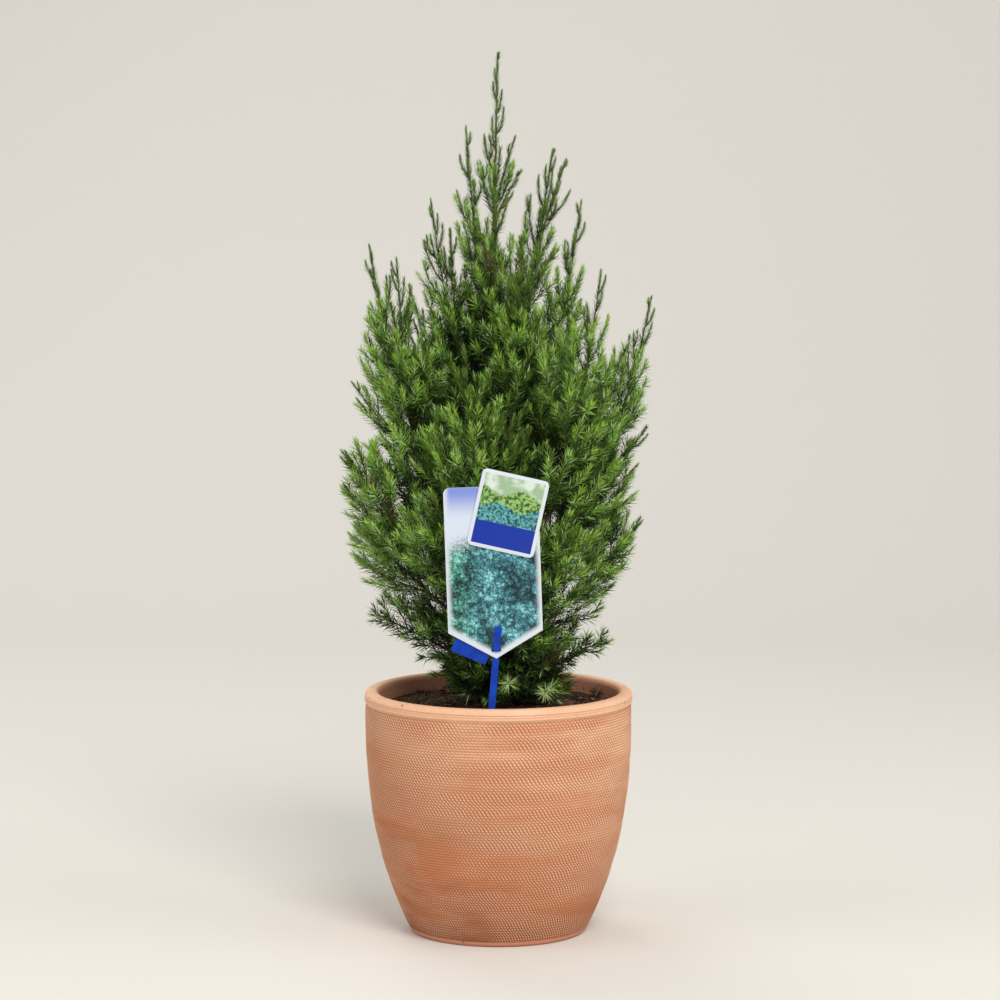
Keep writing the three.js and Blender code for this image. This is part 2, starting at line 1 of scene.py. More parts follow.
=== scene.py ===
# %% [markdown]
# # A young juniper in a terracotta pot
#
# This lesson dresses a plain CAD model of a potted conical juniper. The CAD model gives every size: the
# pot, the soil, the trunk with its boughs, a mass of foliage on each bough, and the plant label. Each of
# them is replaced here by a finer piece in the same place, made from numpy arrays.
#
# Lengths in the code are millimetres, as a potter or a gardener would measure them. MM turns them into
# Blender's metres as the last step of every mesh.

import math

import bmesh
import bpy
import numpy as np
from mathutils import Matrix


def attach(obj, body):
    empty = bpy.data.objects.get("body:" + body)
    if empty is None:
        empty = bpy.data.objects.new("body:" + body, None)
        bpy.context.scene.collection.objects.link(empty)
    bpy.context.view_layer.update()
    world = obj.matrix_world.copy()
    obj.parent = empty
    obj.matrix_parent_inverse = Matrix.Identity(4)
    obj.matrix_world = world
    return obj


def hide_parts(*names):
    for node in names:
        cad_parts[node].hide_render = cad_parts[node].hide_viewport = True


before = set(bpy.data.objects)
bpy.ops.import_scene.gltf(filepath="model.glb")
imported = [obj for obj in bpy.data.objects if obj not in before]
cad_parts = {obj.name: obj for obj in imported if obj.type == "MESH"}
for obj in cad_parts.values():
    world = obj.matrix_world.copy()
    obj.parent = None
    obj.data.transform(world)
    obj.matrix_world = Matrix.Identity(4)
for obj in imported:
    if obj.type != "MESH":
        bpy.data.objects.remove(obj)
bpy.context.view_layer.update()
MM = 0.001
TURN = 2 * math.pi

# %% [markdown]
# ## The camera
#
# The photograph was taken from about knee height with a long lens, so the picture is almost flat: upright
# edges stay upright and the far rim of the pot hardly shrinks. A long lens is copied by a long distance and
# a narrow angle. The horizon of the photograph lies above its middle, which gives the downward pitch.

# %% Camera
FRAME_PIXELS = 1000
FOCAL_PIXELS = 3500
SENSOR = 36
HORIZON_ROW = 140
CAMERA_PLACE = (0.0012, -2.765, 0.63)

camera_data = bpy.data.cameras.new("camera")
camera_data.sensor_width = SENSOR
camera_data.lens = SENSOR * FOCAL_PIXELS / FRAME_PIXELS
camera = bpy.data.objects.new("camera", camera_data)
bpy.context.scene.collection.objects.link(camera)
pitch = math.atan((FRAME_PIXELS / 2 - HORIZON_ROW) / FOCAL_PIXELS)
camera.location = CAMERA_PLACE
camera.rotation_euler = (math.pi / 2 - pitch, 0, 0)
bpy.context.scene.camera = camera
print("lens", round(camera_data.lens), "mm, pitched down", round(math.degrees(pitch), 1), "degrees")

# %% [markdown]
# ## Helpers for meshes
#
# Almost every piece here is a grid of points: a profile turned about the pot's axis, or rings along a twig.
# A grid needs only one rule for its faces, so the shapes can be written as formulas over whole arrays.
# Counting the corners of each face anticlockwise, as seen from outside, makes the faces point outward.

# %% Mesh helpers
def mesh_piece(name, points, faces, smooth=True):
    """A linked object with its mesh made from points, an array in millimetres, and faces, an array of
    corner numbers or a list of such arrays."""
    groups = faces if isinstance(faces, list) else [faces]
    mesh = bpy.data.meshes.new(name)
    mesh.from_pydata(points * MM, [], [face for group in groups for face in group.tolist()])
    mesh.polygons.foreach_set("use_smooth", np.full(len(mesh.polygons), smooth))
    mesh.update()
    return linked(name, mesh)


def linked(name, data):
    """A new object with that data, in the scene."""
    made = bpy.data.objects.new(name, data)
    bpy.context.scene.collection.objects.link(made)
    return made


def grid_faces(rows, columns, closed):
    """Quads of a grid that closes round its columns, and also from the last row to the first when closed."""
    row = np.arange(rows if closed else rows - 1)[:, None]
    column = np.arange(columns)[None, :]
    steps = ((0, 0), (0, 1), (1, 1), (1, 0))
    corners = [(row + i) % rows * columns + (column + j) % columns for i, j in steps]
    return np.stack(corners, axis=-1).reshape(-1, 4)


def round_steps(count):
    """Angles of that many even steps round a full turn: 2 pi i / n."""
    return TURN * np.arange(count) / count


def turned(radius, height, angle):
    """Points of a surface turned about Z: (r cos a, r sin a, h), with r, h and a any arrays that fit."""
    radius, height, angle = np.broadcast_arrays(radius, height, angle)
    return np.stack([radius * np.cos(angle), radius * np.sin(angle), height], axis=-1).reshape(-1, 3)


def level_way(angle):
    """Level directions at angles: (cos a, sin a, 0)."""
    return np.stack([np.cos(angle), np.sin(angle), 0 * angle], axis=-1)


def triangle_count(*pieces):
    """Triangles that the meshes of the pieces come to."""
    return sum(len(polygon.vertices) - 2 for piece in pieces for polygon in piece.data.polygons)


print("faces of a grid of 3 rows by 4:", [len(grid_faces(3, 4, closed)) for closed in (False, True)])

# %% [markdown]
# Natural surfaces are uneven, and the unevenness has a size: clay waves over centimetres, soil clumps over
# millimetres. Value noise makes such a surface. It sets a random number at each corner of a lattice and
# mixes them smoothly in between, so the pitch of the lattice is the size of the bumps.

# %% Noise
LATTICE_WAYS = np.array([127.1, 311.7, 74.7])
LARGE = 43758.5453


def lattice_number(cells, seed):
    """A repeatable number from -1 to 1 for each whole-number cell: twice the fraction of a large sine,
    less 1."""
    wave = np.sin(cells @ LATTICE_WAYS + seed) * LARGE
    return 2 * (wave - np.floor(wave)) - 1


def noise(points, size, seed):
    """Smooth noise from -1 to 1 with bumps of the given size: the eight lattice numbers round a point, mixed
    along each axis by 3 t^2 - 2 t^3, where t is the point's place in its cell."""
    lattice = points / size
    corner = np.floor(lattice)
    t = lattice - corner
    t = t * t * (3 - 2 * t)
    total = 0
    for offset in np.ndindex(2, 2, 2):
        weight = np.prod(np.where(offset, t, 1 - t), axis=-1)
        total = total + weight * lattice_number(corner + offset, seed)
    return total


print("noise at two places:", noise(np.array([[0.5, 0.5, 0.5], [3.2, 1.1, 0.7]]), 1.0, 0).round(2))

# %% [markdown]
# ## Helpers for finishes
#
# A finish is a small graph of shader nodes round one Principled shader. The patterns are read from Object
# coordinates, which are the real metres of the piece, so a scale of 1000 gives bumps of a millimetre. Peat,
# bark and plastic all do with one recipe: two shades, dealt out by a noise, and a finer noise for the
# grain.

# %% Finish helpers
class Finish:
    """A procedural material with one Principled shader, and short calls for the nodes that feed it."""

    def __init__(self, name, colour, roughness, specular=0.5):
        self.material = bpy.data.materials.new(name)
        self.material.use_nodes = True
        self.nodes = self.material.node_tree.nodes
        self.links = self.material.node_tree.links
        self.shader = self.nodes["Principled BSDF"]
        self.shader.inputs["Base Color"].default_value = (*colour, 1)
        self.shader.inputs["Roughness"].default_value = roughness
        self.shader.inputs["Specular IOR Level"].default_value = specular

    def node(self, kind, inputs, **settings):
        """A new node with its settings, and with values or other nodes' sockets on its inputs."""
        made = self.nodes.new(kind)
        for setting, value in settings.items():
            setattr(made, setting, value)
        for place, value in inputs.items():
            if isinstance(value, bpy.types.NodeSocket):
                self.links.new(value, made.inputs[place])
            else:
                made.inputs[place].default_value = value
        return made

    def place(self, stretch=(1, 1, 1)):
        """The Object coordinates, stretched along each axis."""
        coordinates = self.node("ShaderNodeTexCoord", {}).outputs["Object"]
        return self.node("ShaderNodeMapping", {"Vector": coordinates, "Scale": stretch}).outputs[0]

    def noise(self, scale, detail=3, stretch=(1, 1, 1), rough=0.55):
        """Noise from 0 to 1 with that many bumps a metre."""
        inputs = {"Vector": self.place(stretch), "Scale": scale, "Detail": detail, "Roughness": rough}
        return self.node("ShaderNodeTexNoise", inputs).outputs[0]

    def axes(self, vector):
        """The three parts of a vector."""
        return self.node("ShaderNodeSeparateXYZ", {0: vector}).outputs

    def math(self, operation, *values):
        """One sum on sockets or numbers."""
        return self.node("ShaderNodeMath", dict(enumerate(values)), operation=operation).outputs[0]

    def add(self, *values):
        return self.math("ADD", *values)

    def times(self, *values):
        return self.math("MULTIPLY", *values)

    def span(self, value, low, high, to_low=0.0, to_high=1.0):
        """The value mapped smoothly from low..high to to_low..to_high and held inside."""
        inputs = {0: value, 1: low, 2: high, 3: to_low, 4: to_high}
        return self.node("ShaderNodeMapRange", inputs, interpolation_type="SMOOTHSTEP").outputs[0]

    def mix(self, share, first, second):
        """A colour between two colours, or sockets, at a share."""
        first, second = [c if isinstance(c, bpy.types.NodeSocket) else (*c, 1) for c in (first, second)]
        inputs = {0: share, 6: first, 7: second}
        return self.node("ShaderNodeMix", inputs, data_type="RGBA").outputs[2]

    def feed(self, socket, value):
        """The value goes into the shader's socket of that name."""
        self.links.new(value, self.shader.inputs[socket])

    def bump(self, height, distance):
        """The height, from 0 to 1, raises the surface by up to a distance in metres."""
        self.feed("Normal", self.node("ShaderNodeBump", {"Height": height, "Distance": distance}).outputs[0])


def from_screen(red, green, blue):
    """Linear colour of a screen colour given from 0 to 255: c / 12.92 up to 0.04045, else
    ((c + 0.055) / 1.055) ^ 2.4, with c = value / 255."""
    c = np.array([red, green, blue]) / 255
    return tuple(np.where(c <= 0.04045, c / 12.92, ((c + 0.055) / 1.055) ** 2.4).tolist())


def mottled(name, base, gloss, clouds, edges, shades, grain=None):
    """A finish in two shades, dealt out where a noise passes between two edges. Gloss is roughness and
    specular level, clouds are the noise's settings, and grain is those of the bump with its height."""
    finish = Finish(name, from_screen(*base), *gloss)
    share = finish.span(finish.noise(*clouds), *edges)
    finish.feed("Base Color", finish.mix(share, *(from_screen(*shade) for shade in shades)))
    if grain:
        finish.bump(finish.noise(*grain[:-1]), grain[-1])
    return finish


def dress(piece, finish, nodes=()):
    """The piece gets its finish, rides on the one body, and stands for the CAD nodes given."""
    piece.data.materials.append(finish.material)
    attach(piece, "root")
    if nodes:
        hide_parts(*nodes)


print("a screen's middle grey in linear light:", round(from_screen(128, 128, 128)[0], 3))

# %% [markdown]
# ## The pot
#
# The pot is cast clay: a round wall that draws in towards a flat foot, and a smooth rounded lip. Under the
# lip the whole wall is covered with fine level ribs, about 2 mm apart, and with slanting rows of small
# grains, like the print of a woven cloth. The print is strong in some patches and half worn away in others,
# and the slant of its rows swings a little to and fro.
#
# A bump texture can't give such a print a real edge against the background, so it is made in the mesh. The
# wall is a grid with three rows to each rib and three columns to each grain. The columns slant with the
# grains, so every grain is caught at the same three places and the print comes out even all the way round.

# %% The pot's wall
LIP_FOOT = 184
LIP_TOP = 194
LIP_RADIUS = 106.9
WALL_RADIUS = 106.4
FOOT_RADIUS = 70
WALL_DRAW = 2.6
WALL_THICKNESS = 6
RIBS = 84
GRAINS = 212
ROWS_TO_RIB = 3
COLUMNS_TO_GRAIN = 3
RIB_DEPTH = 0.22
GRAIN_DEPTH = 0.64
GRAIN_SHIFT = 0.58  # of a grain's width, from one rib to the next
GRAIN_LEAST = 0.36  # how much of a grain's height is left in the valley between two ribs
SLANT_WAVE = 1.2  # radians by which the grains' slant swings to and fro
SLANT_RIBS = 6  # radians of rib to one radian of that swing
WORN_MEAN = 0.72  # how much of the print is left on average, and at the least
WORN_LEAST = 0.34
WORN_PATCHES = [(1.0, (1, 1, 3), 34, 3), (0.4, (1, 1, 1), 11, 8)]  # weight, stretch, size, seed of noise
PRINT_END = 5  # below the lip, over which the print fades out


def wall_radius(height):
    """The outside of the pot: R - (R - F) (1 - h / H)^2.6, with R at the lip, F at the foot and H the height
    of the wall."""
    drop = np.clip(1 - np.asarray(height) / LIP_FOOT, 0, 1)
    return WALL_RADIUS - (WALL_RADIUS - FOOT_RADIUS) * drop**WALL_DRAW


def rib_turn(height):
    """How many radians of rib lie below a height: 2 pi n h / H."""
    return TURN * RIBS * height / LIP_FOOT


def grain_slant(rib):
    """How far the grains have turned at a height, in radians of grain: s r + w sin(r / n), with r in radians
    of rib."""
    return GRAIN_SHIFT * rib + SLANT_WAVE * np.sin(rib / SLANT_RIBS)


def wall_print(height, angle):
    """How far the print stands out: ribs cos(2 pi h / p), and grains cos(N a + slant) that only stand as high
    as a soft noise lets them."""
    rib = rib_turn(height)
    crest = 0.5 + 0.5 * np.cos(rib)
    grain = 0.5 + 0.5 * np.cos(GRAINS * angle + grain_slant(rib))
    where = turned(100, height, angle)
    patch = WORN_MEAN
    for weight, stretch, size, seed in WORN_PATCHES:
        patch = patch + weight * noise(where * stretch, size, seed)
    patch = np.clip(patch, WORN_LEAST, 1).reshape(np.broadcast(height, angle).shape)
    fade = np.clip((LIP_FOOT - height) / PRINT_END, 0, 1)
    ridge = grain * (GRAIN_LEAST + (1 - GRAIN_LEAST) * crest)
    return fade * (RIB_DEPTH * crest + GRAIN_DEPTH * patch * ridge)


def wall_ring(name, first_rib, last_rib):
    """A closed ring of wall between two ribs: the printed outside, going up, and a plain inside, coming
    down."""
    rows = (last_rib - first_rib) * ROWS_TO_RIB + 1
    height = np.linspace(first_rib, last_rib, rows)[:, None] * LIP_FOOT / RIBS
    columns = GRAINS * COLUMNS_TO_GRAIN
    angle = round_steps(columns)[None, :] - grain_slant(rib_turn(height)) / GRAINS
    outside = turned(wall_radius(height) - GRAIN_DEPTH + wall_print(height, angle), height, angle)
    ends = [rows - 1, 0]
    inside = turned(wall_radius(height[ends]) - WALL_THICKNESS, height[ends], angle[ends])
    return mesh_piece(name, np.concatenate([outside, inside]), grid_faces(rows + 2, columns, closed=True))


FIRST_RIB = 2
MIDDLE_RIB = 43
walls = [wall_ring("pot_wall_low", FIRST_RIB, MIDDLE_RIB), wall_ring("pot_wall_high", MIDDLE_RIB, RIBS)]
print("two rings of wall:", [triangle_count(wall) for wall in walls], "triangles")

# %% [markdown]
# The lip and the foot are smooth, so a plain lathe does: a closed profile, anticlockwise in the plane of
# radius and height, turned about the axis. The lip stands out a little from the wall below it, with a small
# step under it and the last faint ribs on its side, and its inner side runs down behind the soil. It was
# rounded with a wet sponge, so it isn't quite even: a slow noise of a fraction of a millimetre shifts it.

# %% Lip, foot and floor of the pot
LATHE_COLUMNS = 240
UNEVEN_SIZE = 22
UNEVEN_SEED = 5


def rounded(centre_radius, centre_height, radius, start, stop, steps):
    """Points of an arc in the profile, from one angle to another in degrees."""
    angle = np.radians(np.linspace(start, stop, steps))
    return np.stack([centre_radius + radius * np.cos(angle), centre_height + radius * np.sin(angle)], axis=-1)


def lathe(name, profile, uneven):
    """A closed profile turned about Z, shifted in radius by a slow noise."""
    angle = round_steps(LATHE_COLUMNS)[None, :]
    radius, height = profile[:, 0, None], profile[:, 1, None]
    shift = uneven * noise(turned(radius, height, angle), UNEVEN_SIZE, UNEVEN_SEED).reshape(len(profile), -1)
    points = turned(radius + shift, height, angle)
    return mesh_piece(name, points, grid_faces(len(profile), LATHE_COLUMNS, closed=True))


INNER_RADIUS = 95.2
LIP_ROUND = 4.8
LIP_STEP = 0.1  # how far the lip's underside lies below its foot
LIP_UNEVEN = 0.25
LIP_RIB = 0.2
LIP_ROWS = 15
BEHIND_SOIL = 160
FOOT_ROUND = 4
FOOT_INNER = 50
FOOT_DEEP = 5.5  # thickness of the foot's ring, and of the lip's underside
FOOT_HIGH = 8
side_height = np.linspace(LIP_FOOT + 1.6, LIP_TOP - LIP_ROUND, LIP_ROWS)
side_radius = LIP_RADIUS - LIP_RIB * (0.5 - 0.5 * np.cos(rib_turn(side_height)))
lip_side = np.stack([side_radius, side_height], axis=-1)
under_lip = LIP_FOOT - LIP_STEP
lip_profile = np.concatenate([
    [[WALL_RADIUS - FOOT_DEEP, under_lip], [WALL_RADIUS - 0.5, under_lip]],
    [[WALL_RADIUS - 0.1, LIP_FOOT + 0.9]],
    lip_side,
    rounded(LIP_RADIUS - LIP_ROUND, LIP_TOP - LIP_ROUND, LIP_ROUND, 0, 90, 9),
    rounded(INNER_RADIUS + LIP_ROUND, LIP_TOP - LIP_ROUND, LIP_ROUND, 90, 180, 9),
    [[INNER_RADIUS, LIP_FOOT], [INNER_RADIUS - 0.6, LIP_FOOT - 10], [INNER_RADIUS - 1.5, BEHIND_SOIL]],
    [[WALL_RADIUS - 7, BEHIND_SOIL]],
])
foot_top = FIRST_RIB * LIP_FOOT / RIBS
foot_edge = float(wall_radius(foot_top)) - GRAIN_DEPTH
foot_profile = np.concatenate([
    [[FOOT_INNER, foot_top + FOOT_HIGH], [FOOT_INNER, 0.6], [FOOT_INNER + 1, 0]],
    rounded(foot_edge - FOOT_ROUND, FOOT_ROUND, FOOT_ROUND, -90, 0, 7),
    [[foot_edge, foot_top], [foot_edge - FOOT_DEEP, foot_top], [foot_edge - FOOT_DEEP, foot_top + FOOT_HIGH]],
])
lip = lathe("pot_lip", lip_profile, LIP_UNEVEN)
foot = lathe("pot_foot", foot_profile, 0.0)
print("lip and foot:", triangle_count(lip, foot), "triangles")

# %% [markdown]
# The floor has three drain holes, and the label's card has a slot. For a flat piece with holes, a 2-D curve
# is the easiest start: its first outline is the edge and the others are holes, Blender fills it, gives it a
# thickness, and rounds the rims with a bevel. The curve's mesh comes in loose parts, which are welded.

# %% Plates from flat outlines
WELD = 0.001
SHARP_DEGREES = 35


def plate(name, outlines, thickness, bevel, place):
    """A closed plate from outlines in its own x-y plane, each an array of points in millimetres, with rims
    rounded by the bevel; place is the matrix that puts it where it belongs."""
    curve = bpy.data.curves.new(name, "CURVE")
    curve.dimensions = "2D"
    curve.fill_mode = "BOTH"
    curve.extrude = thickness / 2 - bevel
    curve.bevel_depth = bevel
    curve.bevel_resolution = 2
    curve.offset = -bevel
    for outline in outlines:
        spline = curve.splines.new("POLY")
        spline.points.add(len(outline) - 1)
        flat = np.concatenate([outline, np.zeros((len(outline), 1)), np.ones((len(outline), 1))], axis=1)
        spline.points.foreach_set("co", flat.ravel())
        spline.use_cyclic_u = True
    draft = bpy.data.objects.new(name, curve)
    mesh = bpy.data.meshes.new_from_object(draft)
    bpy.data.objects.remove(draft)
    weld = bmesh.new()
    weld.from_mesh(mesh)
    bmesh.ops.remove_doubles(weld, verts=weld.verts, dist=WELD)
    bmesh.ops.recalc_face_normals(weld, faces=weld.faces)
    weld.to_mesh(mesh)
    weld.free()
    mesh.name = name
    mesh.transform(Matrix.Scale(MM, 4) @ place)
    mesh.shade_smooth()
    mesh.set_sharp_from_angle(angle=math.radians(SHARP_DEGREES))
    return linked(name, mesh)


def circle(radius, steps, centre=(0, 0)):
    """Points of a circle: c + r (cos a, sin a)."""
    angle = round_steps(steps)
    return np.stack([centre[0] + radius * np.cos(angle), centre[1] + radius * np.sin(angle)], axis=-1)


DRAIN_ANGLES = np.radians([30, 150, 270])
DRAIN_CIRCLE = 30
DRAIN_RADIUS = 5.5
FLOOR_RADIUS = FOOT_INNER + 0.5
FLOOR_THICKNESS = 11
FLOOR_RAISED = 0.6
FLOOR_BEVEL = 0.5
drains = [circle(DRAIN_RADIUS, 32, DRAIN_CIRCLE * way[:2]) for way in level_way(DRAIN_ANGLES)]
floor_outlines = [circle(FLOOR_RADIUS, 128), *drains]
floor_place = Matrix.Translation((0, 0, FLOOR_RAISED + FLOOR_THICKNESS / 2))
pot_floor = plate("pot_floor", floor_outlines, FLOOR_THICKNESS, FLOOR_BEVEL, floor_place)
print("floor:", triangle_count(pot_floor), "triangles")

# %% [markdown]
# Terracotta gets its colour from iron. Where the print stands proud the clay is rubbed pale, and the
# valleys keep the deeper orange; the pale grains also carry a painted highlight and the valleys a painted
# shade. On top of that lie soft bands and clouds. Painted light makes the clay paler towards the top
# and the right, and painted shade makes it darker towards the foot. The lip is smooth, with painted shade
# on its inner side, grooves in deeper clay with painted shade, and a few dark pits. The finish computes
# the same ribs and grains as the mesh does: the angle round the pot is the arctangent of y over x.

# %% Clay
CLAY_PALE = from_screen(246, 208, 178)
CLAY_MID = from_screen(222, 168, 134)
CLAY_DEEP = from_screen(158, 90, 52)
# painted shade on the inner side of the lip
CLAY_INNER_SHADE = from_screen(204, 140, 110)
# painted shade at the foot of the pot
CLAY_FOOT_SHADE = from_screen(118, 62, 34)
CLAY_PIT = from_screen(120, 72, 46)
CLAY_GLOSS = (0.82, 0.3)
# painted shade low on the wall, painted light high and to the right, then the colour of the bands
WALL_SHADED_LIT_AND_BAND = [from_screen(156, 84, 42), from_screen(242, 194, 156), from_screen(200, 126, 82)]
LIP_SHADES = [from_screen(242, 199, 166), from_screen(224, 170, 134)]
RIB_TURNS = TURN * RIBS / (LIP_FOOT * MM)  # radians of rib to a metre
PAINTED_LIGHT_RIGHT = 0.55  # how much a way to the right adds painted light to the clay, against the same way up
PAINTED_LIGHT_TOP = 0.19
# pairs are edges between which something fades: in metres up the pot or out from its axis, or in a noise
# these two end the painted shade at the wall's foot and on the foot's ring
WALL_FOOT = (0.0, 0.04)
FOOT_RING = (0.05, 0.1)
LIP_GROOVES = (0.1885, 0.1905)
# the next two bound the painted shade on the lip's inner side: its top, and how far out it reaches
INNER_SHADE_TOP = (0.1925, 0.1945)
INNER_EDGE = (0.0975, 0.1015)
WORN_EDGES = (0.36, 0.56)
PIT_EDGES = (0.07, 0.12)
# how strongly each of these colours the clay: valleys, pale grains and grooves partly as painted shade
# and highlight, and the foot, the ring and the lip's inner side as painted shade
BANDS, VALLEY_TINT_AND_SHADE, PALE_GRAINS_AND_HIGHLIGHT, FOOT_PAINTED_SHADE = 0.75, 0.84, 0.56, 0.5
LIP_BANDS, RING_PAINTED_SHADE, GROOVE_TINT_AND_SHADE, INNER_PAINTED_SHADE, PITS, DUST = 0.6, 0.8, 0.22, 0.9, 0.75, 0.16


def printed_colour(clay, axes, deep_share):
    """The colour of the printed wall: clay with painted light towards the top and the right and painted
    shade towards the foot, streaked and worn, with valleys in deeper clay and painted shade, and grains
    rubbed pale with a painted highlight.
    """
    # painted light towards the top and the right, painted shade towards the foot on the left
    lit_up_right = clay.add(axes[2], clay.times(axes[0], PAINTED_LIGHT_RIGHT))
    lit_and_shaded_clay = clay.mix(clay.span(lit_up_right, 0.0, PAINTED_LIGHT_TOP), *WALL_SHADED_LIT_AND_BAND[:2])
    colour = clay.mix(clay.times(deep_share, BANDS), lit_and_shaded_clay, WALL_SHADED_LIT_AND_BAND[2])
    rib = clay.times(axes[2], RIB_TURNS)
    swing = clay.math("SINE", clay.math("DIVIDE", rib, float(SLANT_RIBS)))
    slant = clay.math("MULTIPLY_ADD", rib, GRAIN_SHIFT, clay.times(swing, SLANT_WAVE))
    turn = clay.add(clay.times(clay.math("ARCTAN2", axes[1], axes[0]), GRAINS), slant)
    crest = clay.span(clay.math("COSINE", rib), -1, 1)
    grains = clay.span(clay.math("COSINE", turn), -1, 1)
    patch = clay.span(clay.noise(17, 3, (1, 1, 3.0)), *WORN_EDGES, WORN_LEAST)
    part = clay.math("MULTIPLY_ADD", crest, 1 - GRAIN_LEAST, GRAIN_LEAST)
    shown = clay.times(clay.times(grains, part), patch)
    gap = clay.times(clay.math("SUBTRACT", 1.0, grains), patch)
    valley = clay.math("MAXIMUM", clay.times(clay.math("SUBTRACT", 1.0, crest), 0.8), gap)
    # valleys in deeper clay, with painted shade
    colour = clay.mix(clay.times(valley, VALLEY_TINT_AND_SHADE), colour, CLAY_DEEP)
    # painted shade towards the foot of the wall
    colour = clay.mix(clay.span(axes[2], *WALL_FOOT, FOOT_PAINTED_SHADE, 0.0), colour, CLAY_FOOT_SHADE)
    # grains rubbed pale, with a painted highlight
    return clay.mix(clay.times(shown, PALE_GRAINS_AND_HIGHLIGHT), colour, CLAY_PALE)


def smooth_colour(clay, axes, deep_share, grain):
    """The colour of the smooth pieces: painted shade at the foot, faint grooves on the lip's side in deeper
    clay with painted shade, painted shade on the inner side of the lip, and pits."""
    colour = clay.mix(clay.times(deep_share, LIP_BANDS), *LIP_SHADES)
    # painted shade on the foot's ring and the pot's floor
    colour = clay.mix(clay.span(axes[2], *FOOT_RING, RING_PAINTED_SHADE, 0.0), colour, CLAY_FOOT_SHADE)
    # the lip's grooves in deeper clay, with painted shade
    side = clay.span(axes[2], *LIP_GROOVES, GROOVE_TINT_AND_SHADE, 0.0)
    groove = clay.span(clay.math("COSINE", clay.times(axes[2], RIB_TURNS)), -1, 0.4, 1.0, 0.0)
    colour = clay.mix(clay.times(side, groove), colour, CLAY_DEEP)
    flat = clay.node("ShaderNodeCombineXYZ", {0: axes[0], 1: axes[1]}).outputs[0]
    from_axis = clay.node("ShaderNodeVectorMath", {0: flat}, operation="LENGTH").outputs["Value"]
    # painted shade on the inner side of the lip, below its top
    inner = clay.span(clay.add(from_axis, clay.times(grain, 0.004)), *INNER_EDGE, 1.0, 0.0)
    painted_inner_shade = clay.times(inner, clay.span(axes[2], *INNER_SHADE_TOP, 1.0, 0.0))
    colour = clay.mix(clay.times(painted_inner_shade, INNER_PAINTED_SHADE), colour, CLAY_INNER_SHADE)
    pits = clay.node("ShaderNodeTexVoronoi", {"Vector": clay.place((1, 1, 0.8)), "Scale": 90.0})
    pit = clay.span(pits.outputs["Distance"], *PIT_EDGES, 1.0, 0.0)
    return clay.mix(clay.times(pit, PITS), colour, CLAY_PIT)


def clay_finish(name, printed):
    """Terracotta, with the wall's print in its colour where printed."""
    clay = Finish(name, CLAY_MID, *CLAY_GLOSS)
    clouds = clay.noise(13, 3, (1, 1, 2.2))
    streaks = clay.noise(42, 3, (0.14, 0.14, 2.0))
    grain = clay.noise(900, 2)
    deep_share = clay.span(clay.add(clay.times(clouds, 0.55), clay.times(streaks, 0.45)), 0.4, 0.6)
    axes = clay.axes(clay.place())
    if printed:
        colour = printed_colour(clay, axes, deep_share)
    else:
        colour = smooth_colour(clay, axes, deep_share, grain)
    clay.feed("Base Color", clay.mix(clay.span(grain, 0.35, 0.65, 0.0, DUST), colour, CLAY_DEEP))
    clay.feed("Roughness", clay.span(clouds, 0.3, 0.7, 0.74, 0.92))
    clay.bump(clay.add(grain, clay.noise(300, 2)), 0.00012)
    return clay


printed_clay = clay_finish("clay_printed", True)
plain_clay = clay_finish("clay_plain", False)
for wall in walls:
    dress(wall, printed_clay, ["pot"])
for piece in (lip, foot, pot_floor):
    dress(piece, plain_clay)
print("nodes of the printed and the plain clay:", len(printed_clay.nodes), len(plain_clay.nodes))

# %% [markdown]
# ## The soil
#
# Potting soil is never flat. It is dark crumbs of peat with strips of bark, bits of root and straw, heaped
# a little round the trunk and lower at the wall. A displaced disc gives the ground, and loose crumbs, chips
# and straws lie on it, half sunk in, which breaks up its smooth skin.

# %% Ground of soil
SOIL_LEVEL = 181
SOIL_HEAP = 0.6
SOIL_DIP = 1.6
SOIL_RIM = 95.0
SOIL_UNDERSIDE = 162.0
SOIL_CLUMPS = [(1.3, 13, 21), (1.0, 5.5, 22), (0.55, 2.3, 23)]  # height and size in mm, seed
SOIL_CALM = (3, 0.3)  # how far from the rim the clumps get lower, and what is left of them there
SOIL_ROWS = 70
SOIL_COLUMNS = 300
rng = np.random.default_rng(11)


def soil_height(x, y):
    """Height of the ground: a low heap, L - d (r / R)^2, with clumps of three sizes on it."""
    radius = np.hypot(x, y)
    where = np.stack([x, y, np.zeros_like(x)], axis=-1)
    clumps = sum(height * noise(where, size, seed) for height, size, seed in SOIL_CLUMPS)
    calm = np.clip((SOIL_RIM - radius) / SOIL_CALM[0], SOIL_CALM[1], 1)
    return SOIL_LEVEL + SOIL_HEAP - SOIL_DIP * (radius / SOIL_RIM) ** 2 + calm * clumps


soil_radius = SOIL_RIM * np.linspace(0.004, 1, SOIL_ROWS)[::-1, None]
soil_angle = round_steps(SOIL_COLUMNS)[None, :]
soil_x = soil_radius * np.cos(soil_angle)
soil_y = soil_radius * np.sin(soil_angle)
ground = np.stack([soil_x, soil_y, soil_height(soil_x, soil_y)], axis=-1).reshape(-1, 3)
underside = turned(np.array([[0.4], [SOIL_RIM]]), SOIL_UNDERSIDE, soil_angle)
soil_faces = grid_faces(SOIL_ROWS + 2, SOIL_COLUMNS, closed=True)
soil = mesh_piece("soil_ground", np.concatenate([ground, underside]), soil_faces)
print("soil:", triangle_count(soil), "triangles")

# %% [markdown]
# The loose bits are all one small shape, an eight-faced lump, which is stretched, turned and placed many
# times by arrays. A crumb is nearly round, a bark chip is a flat splinter, and a straw is a long thin one.

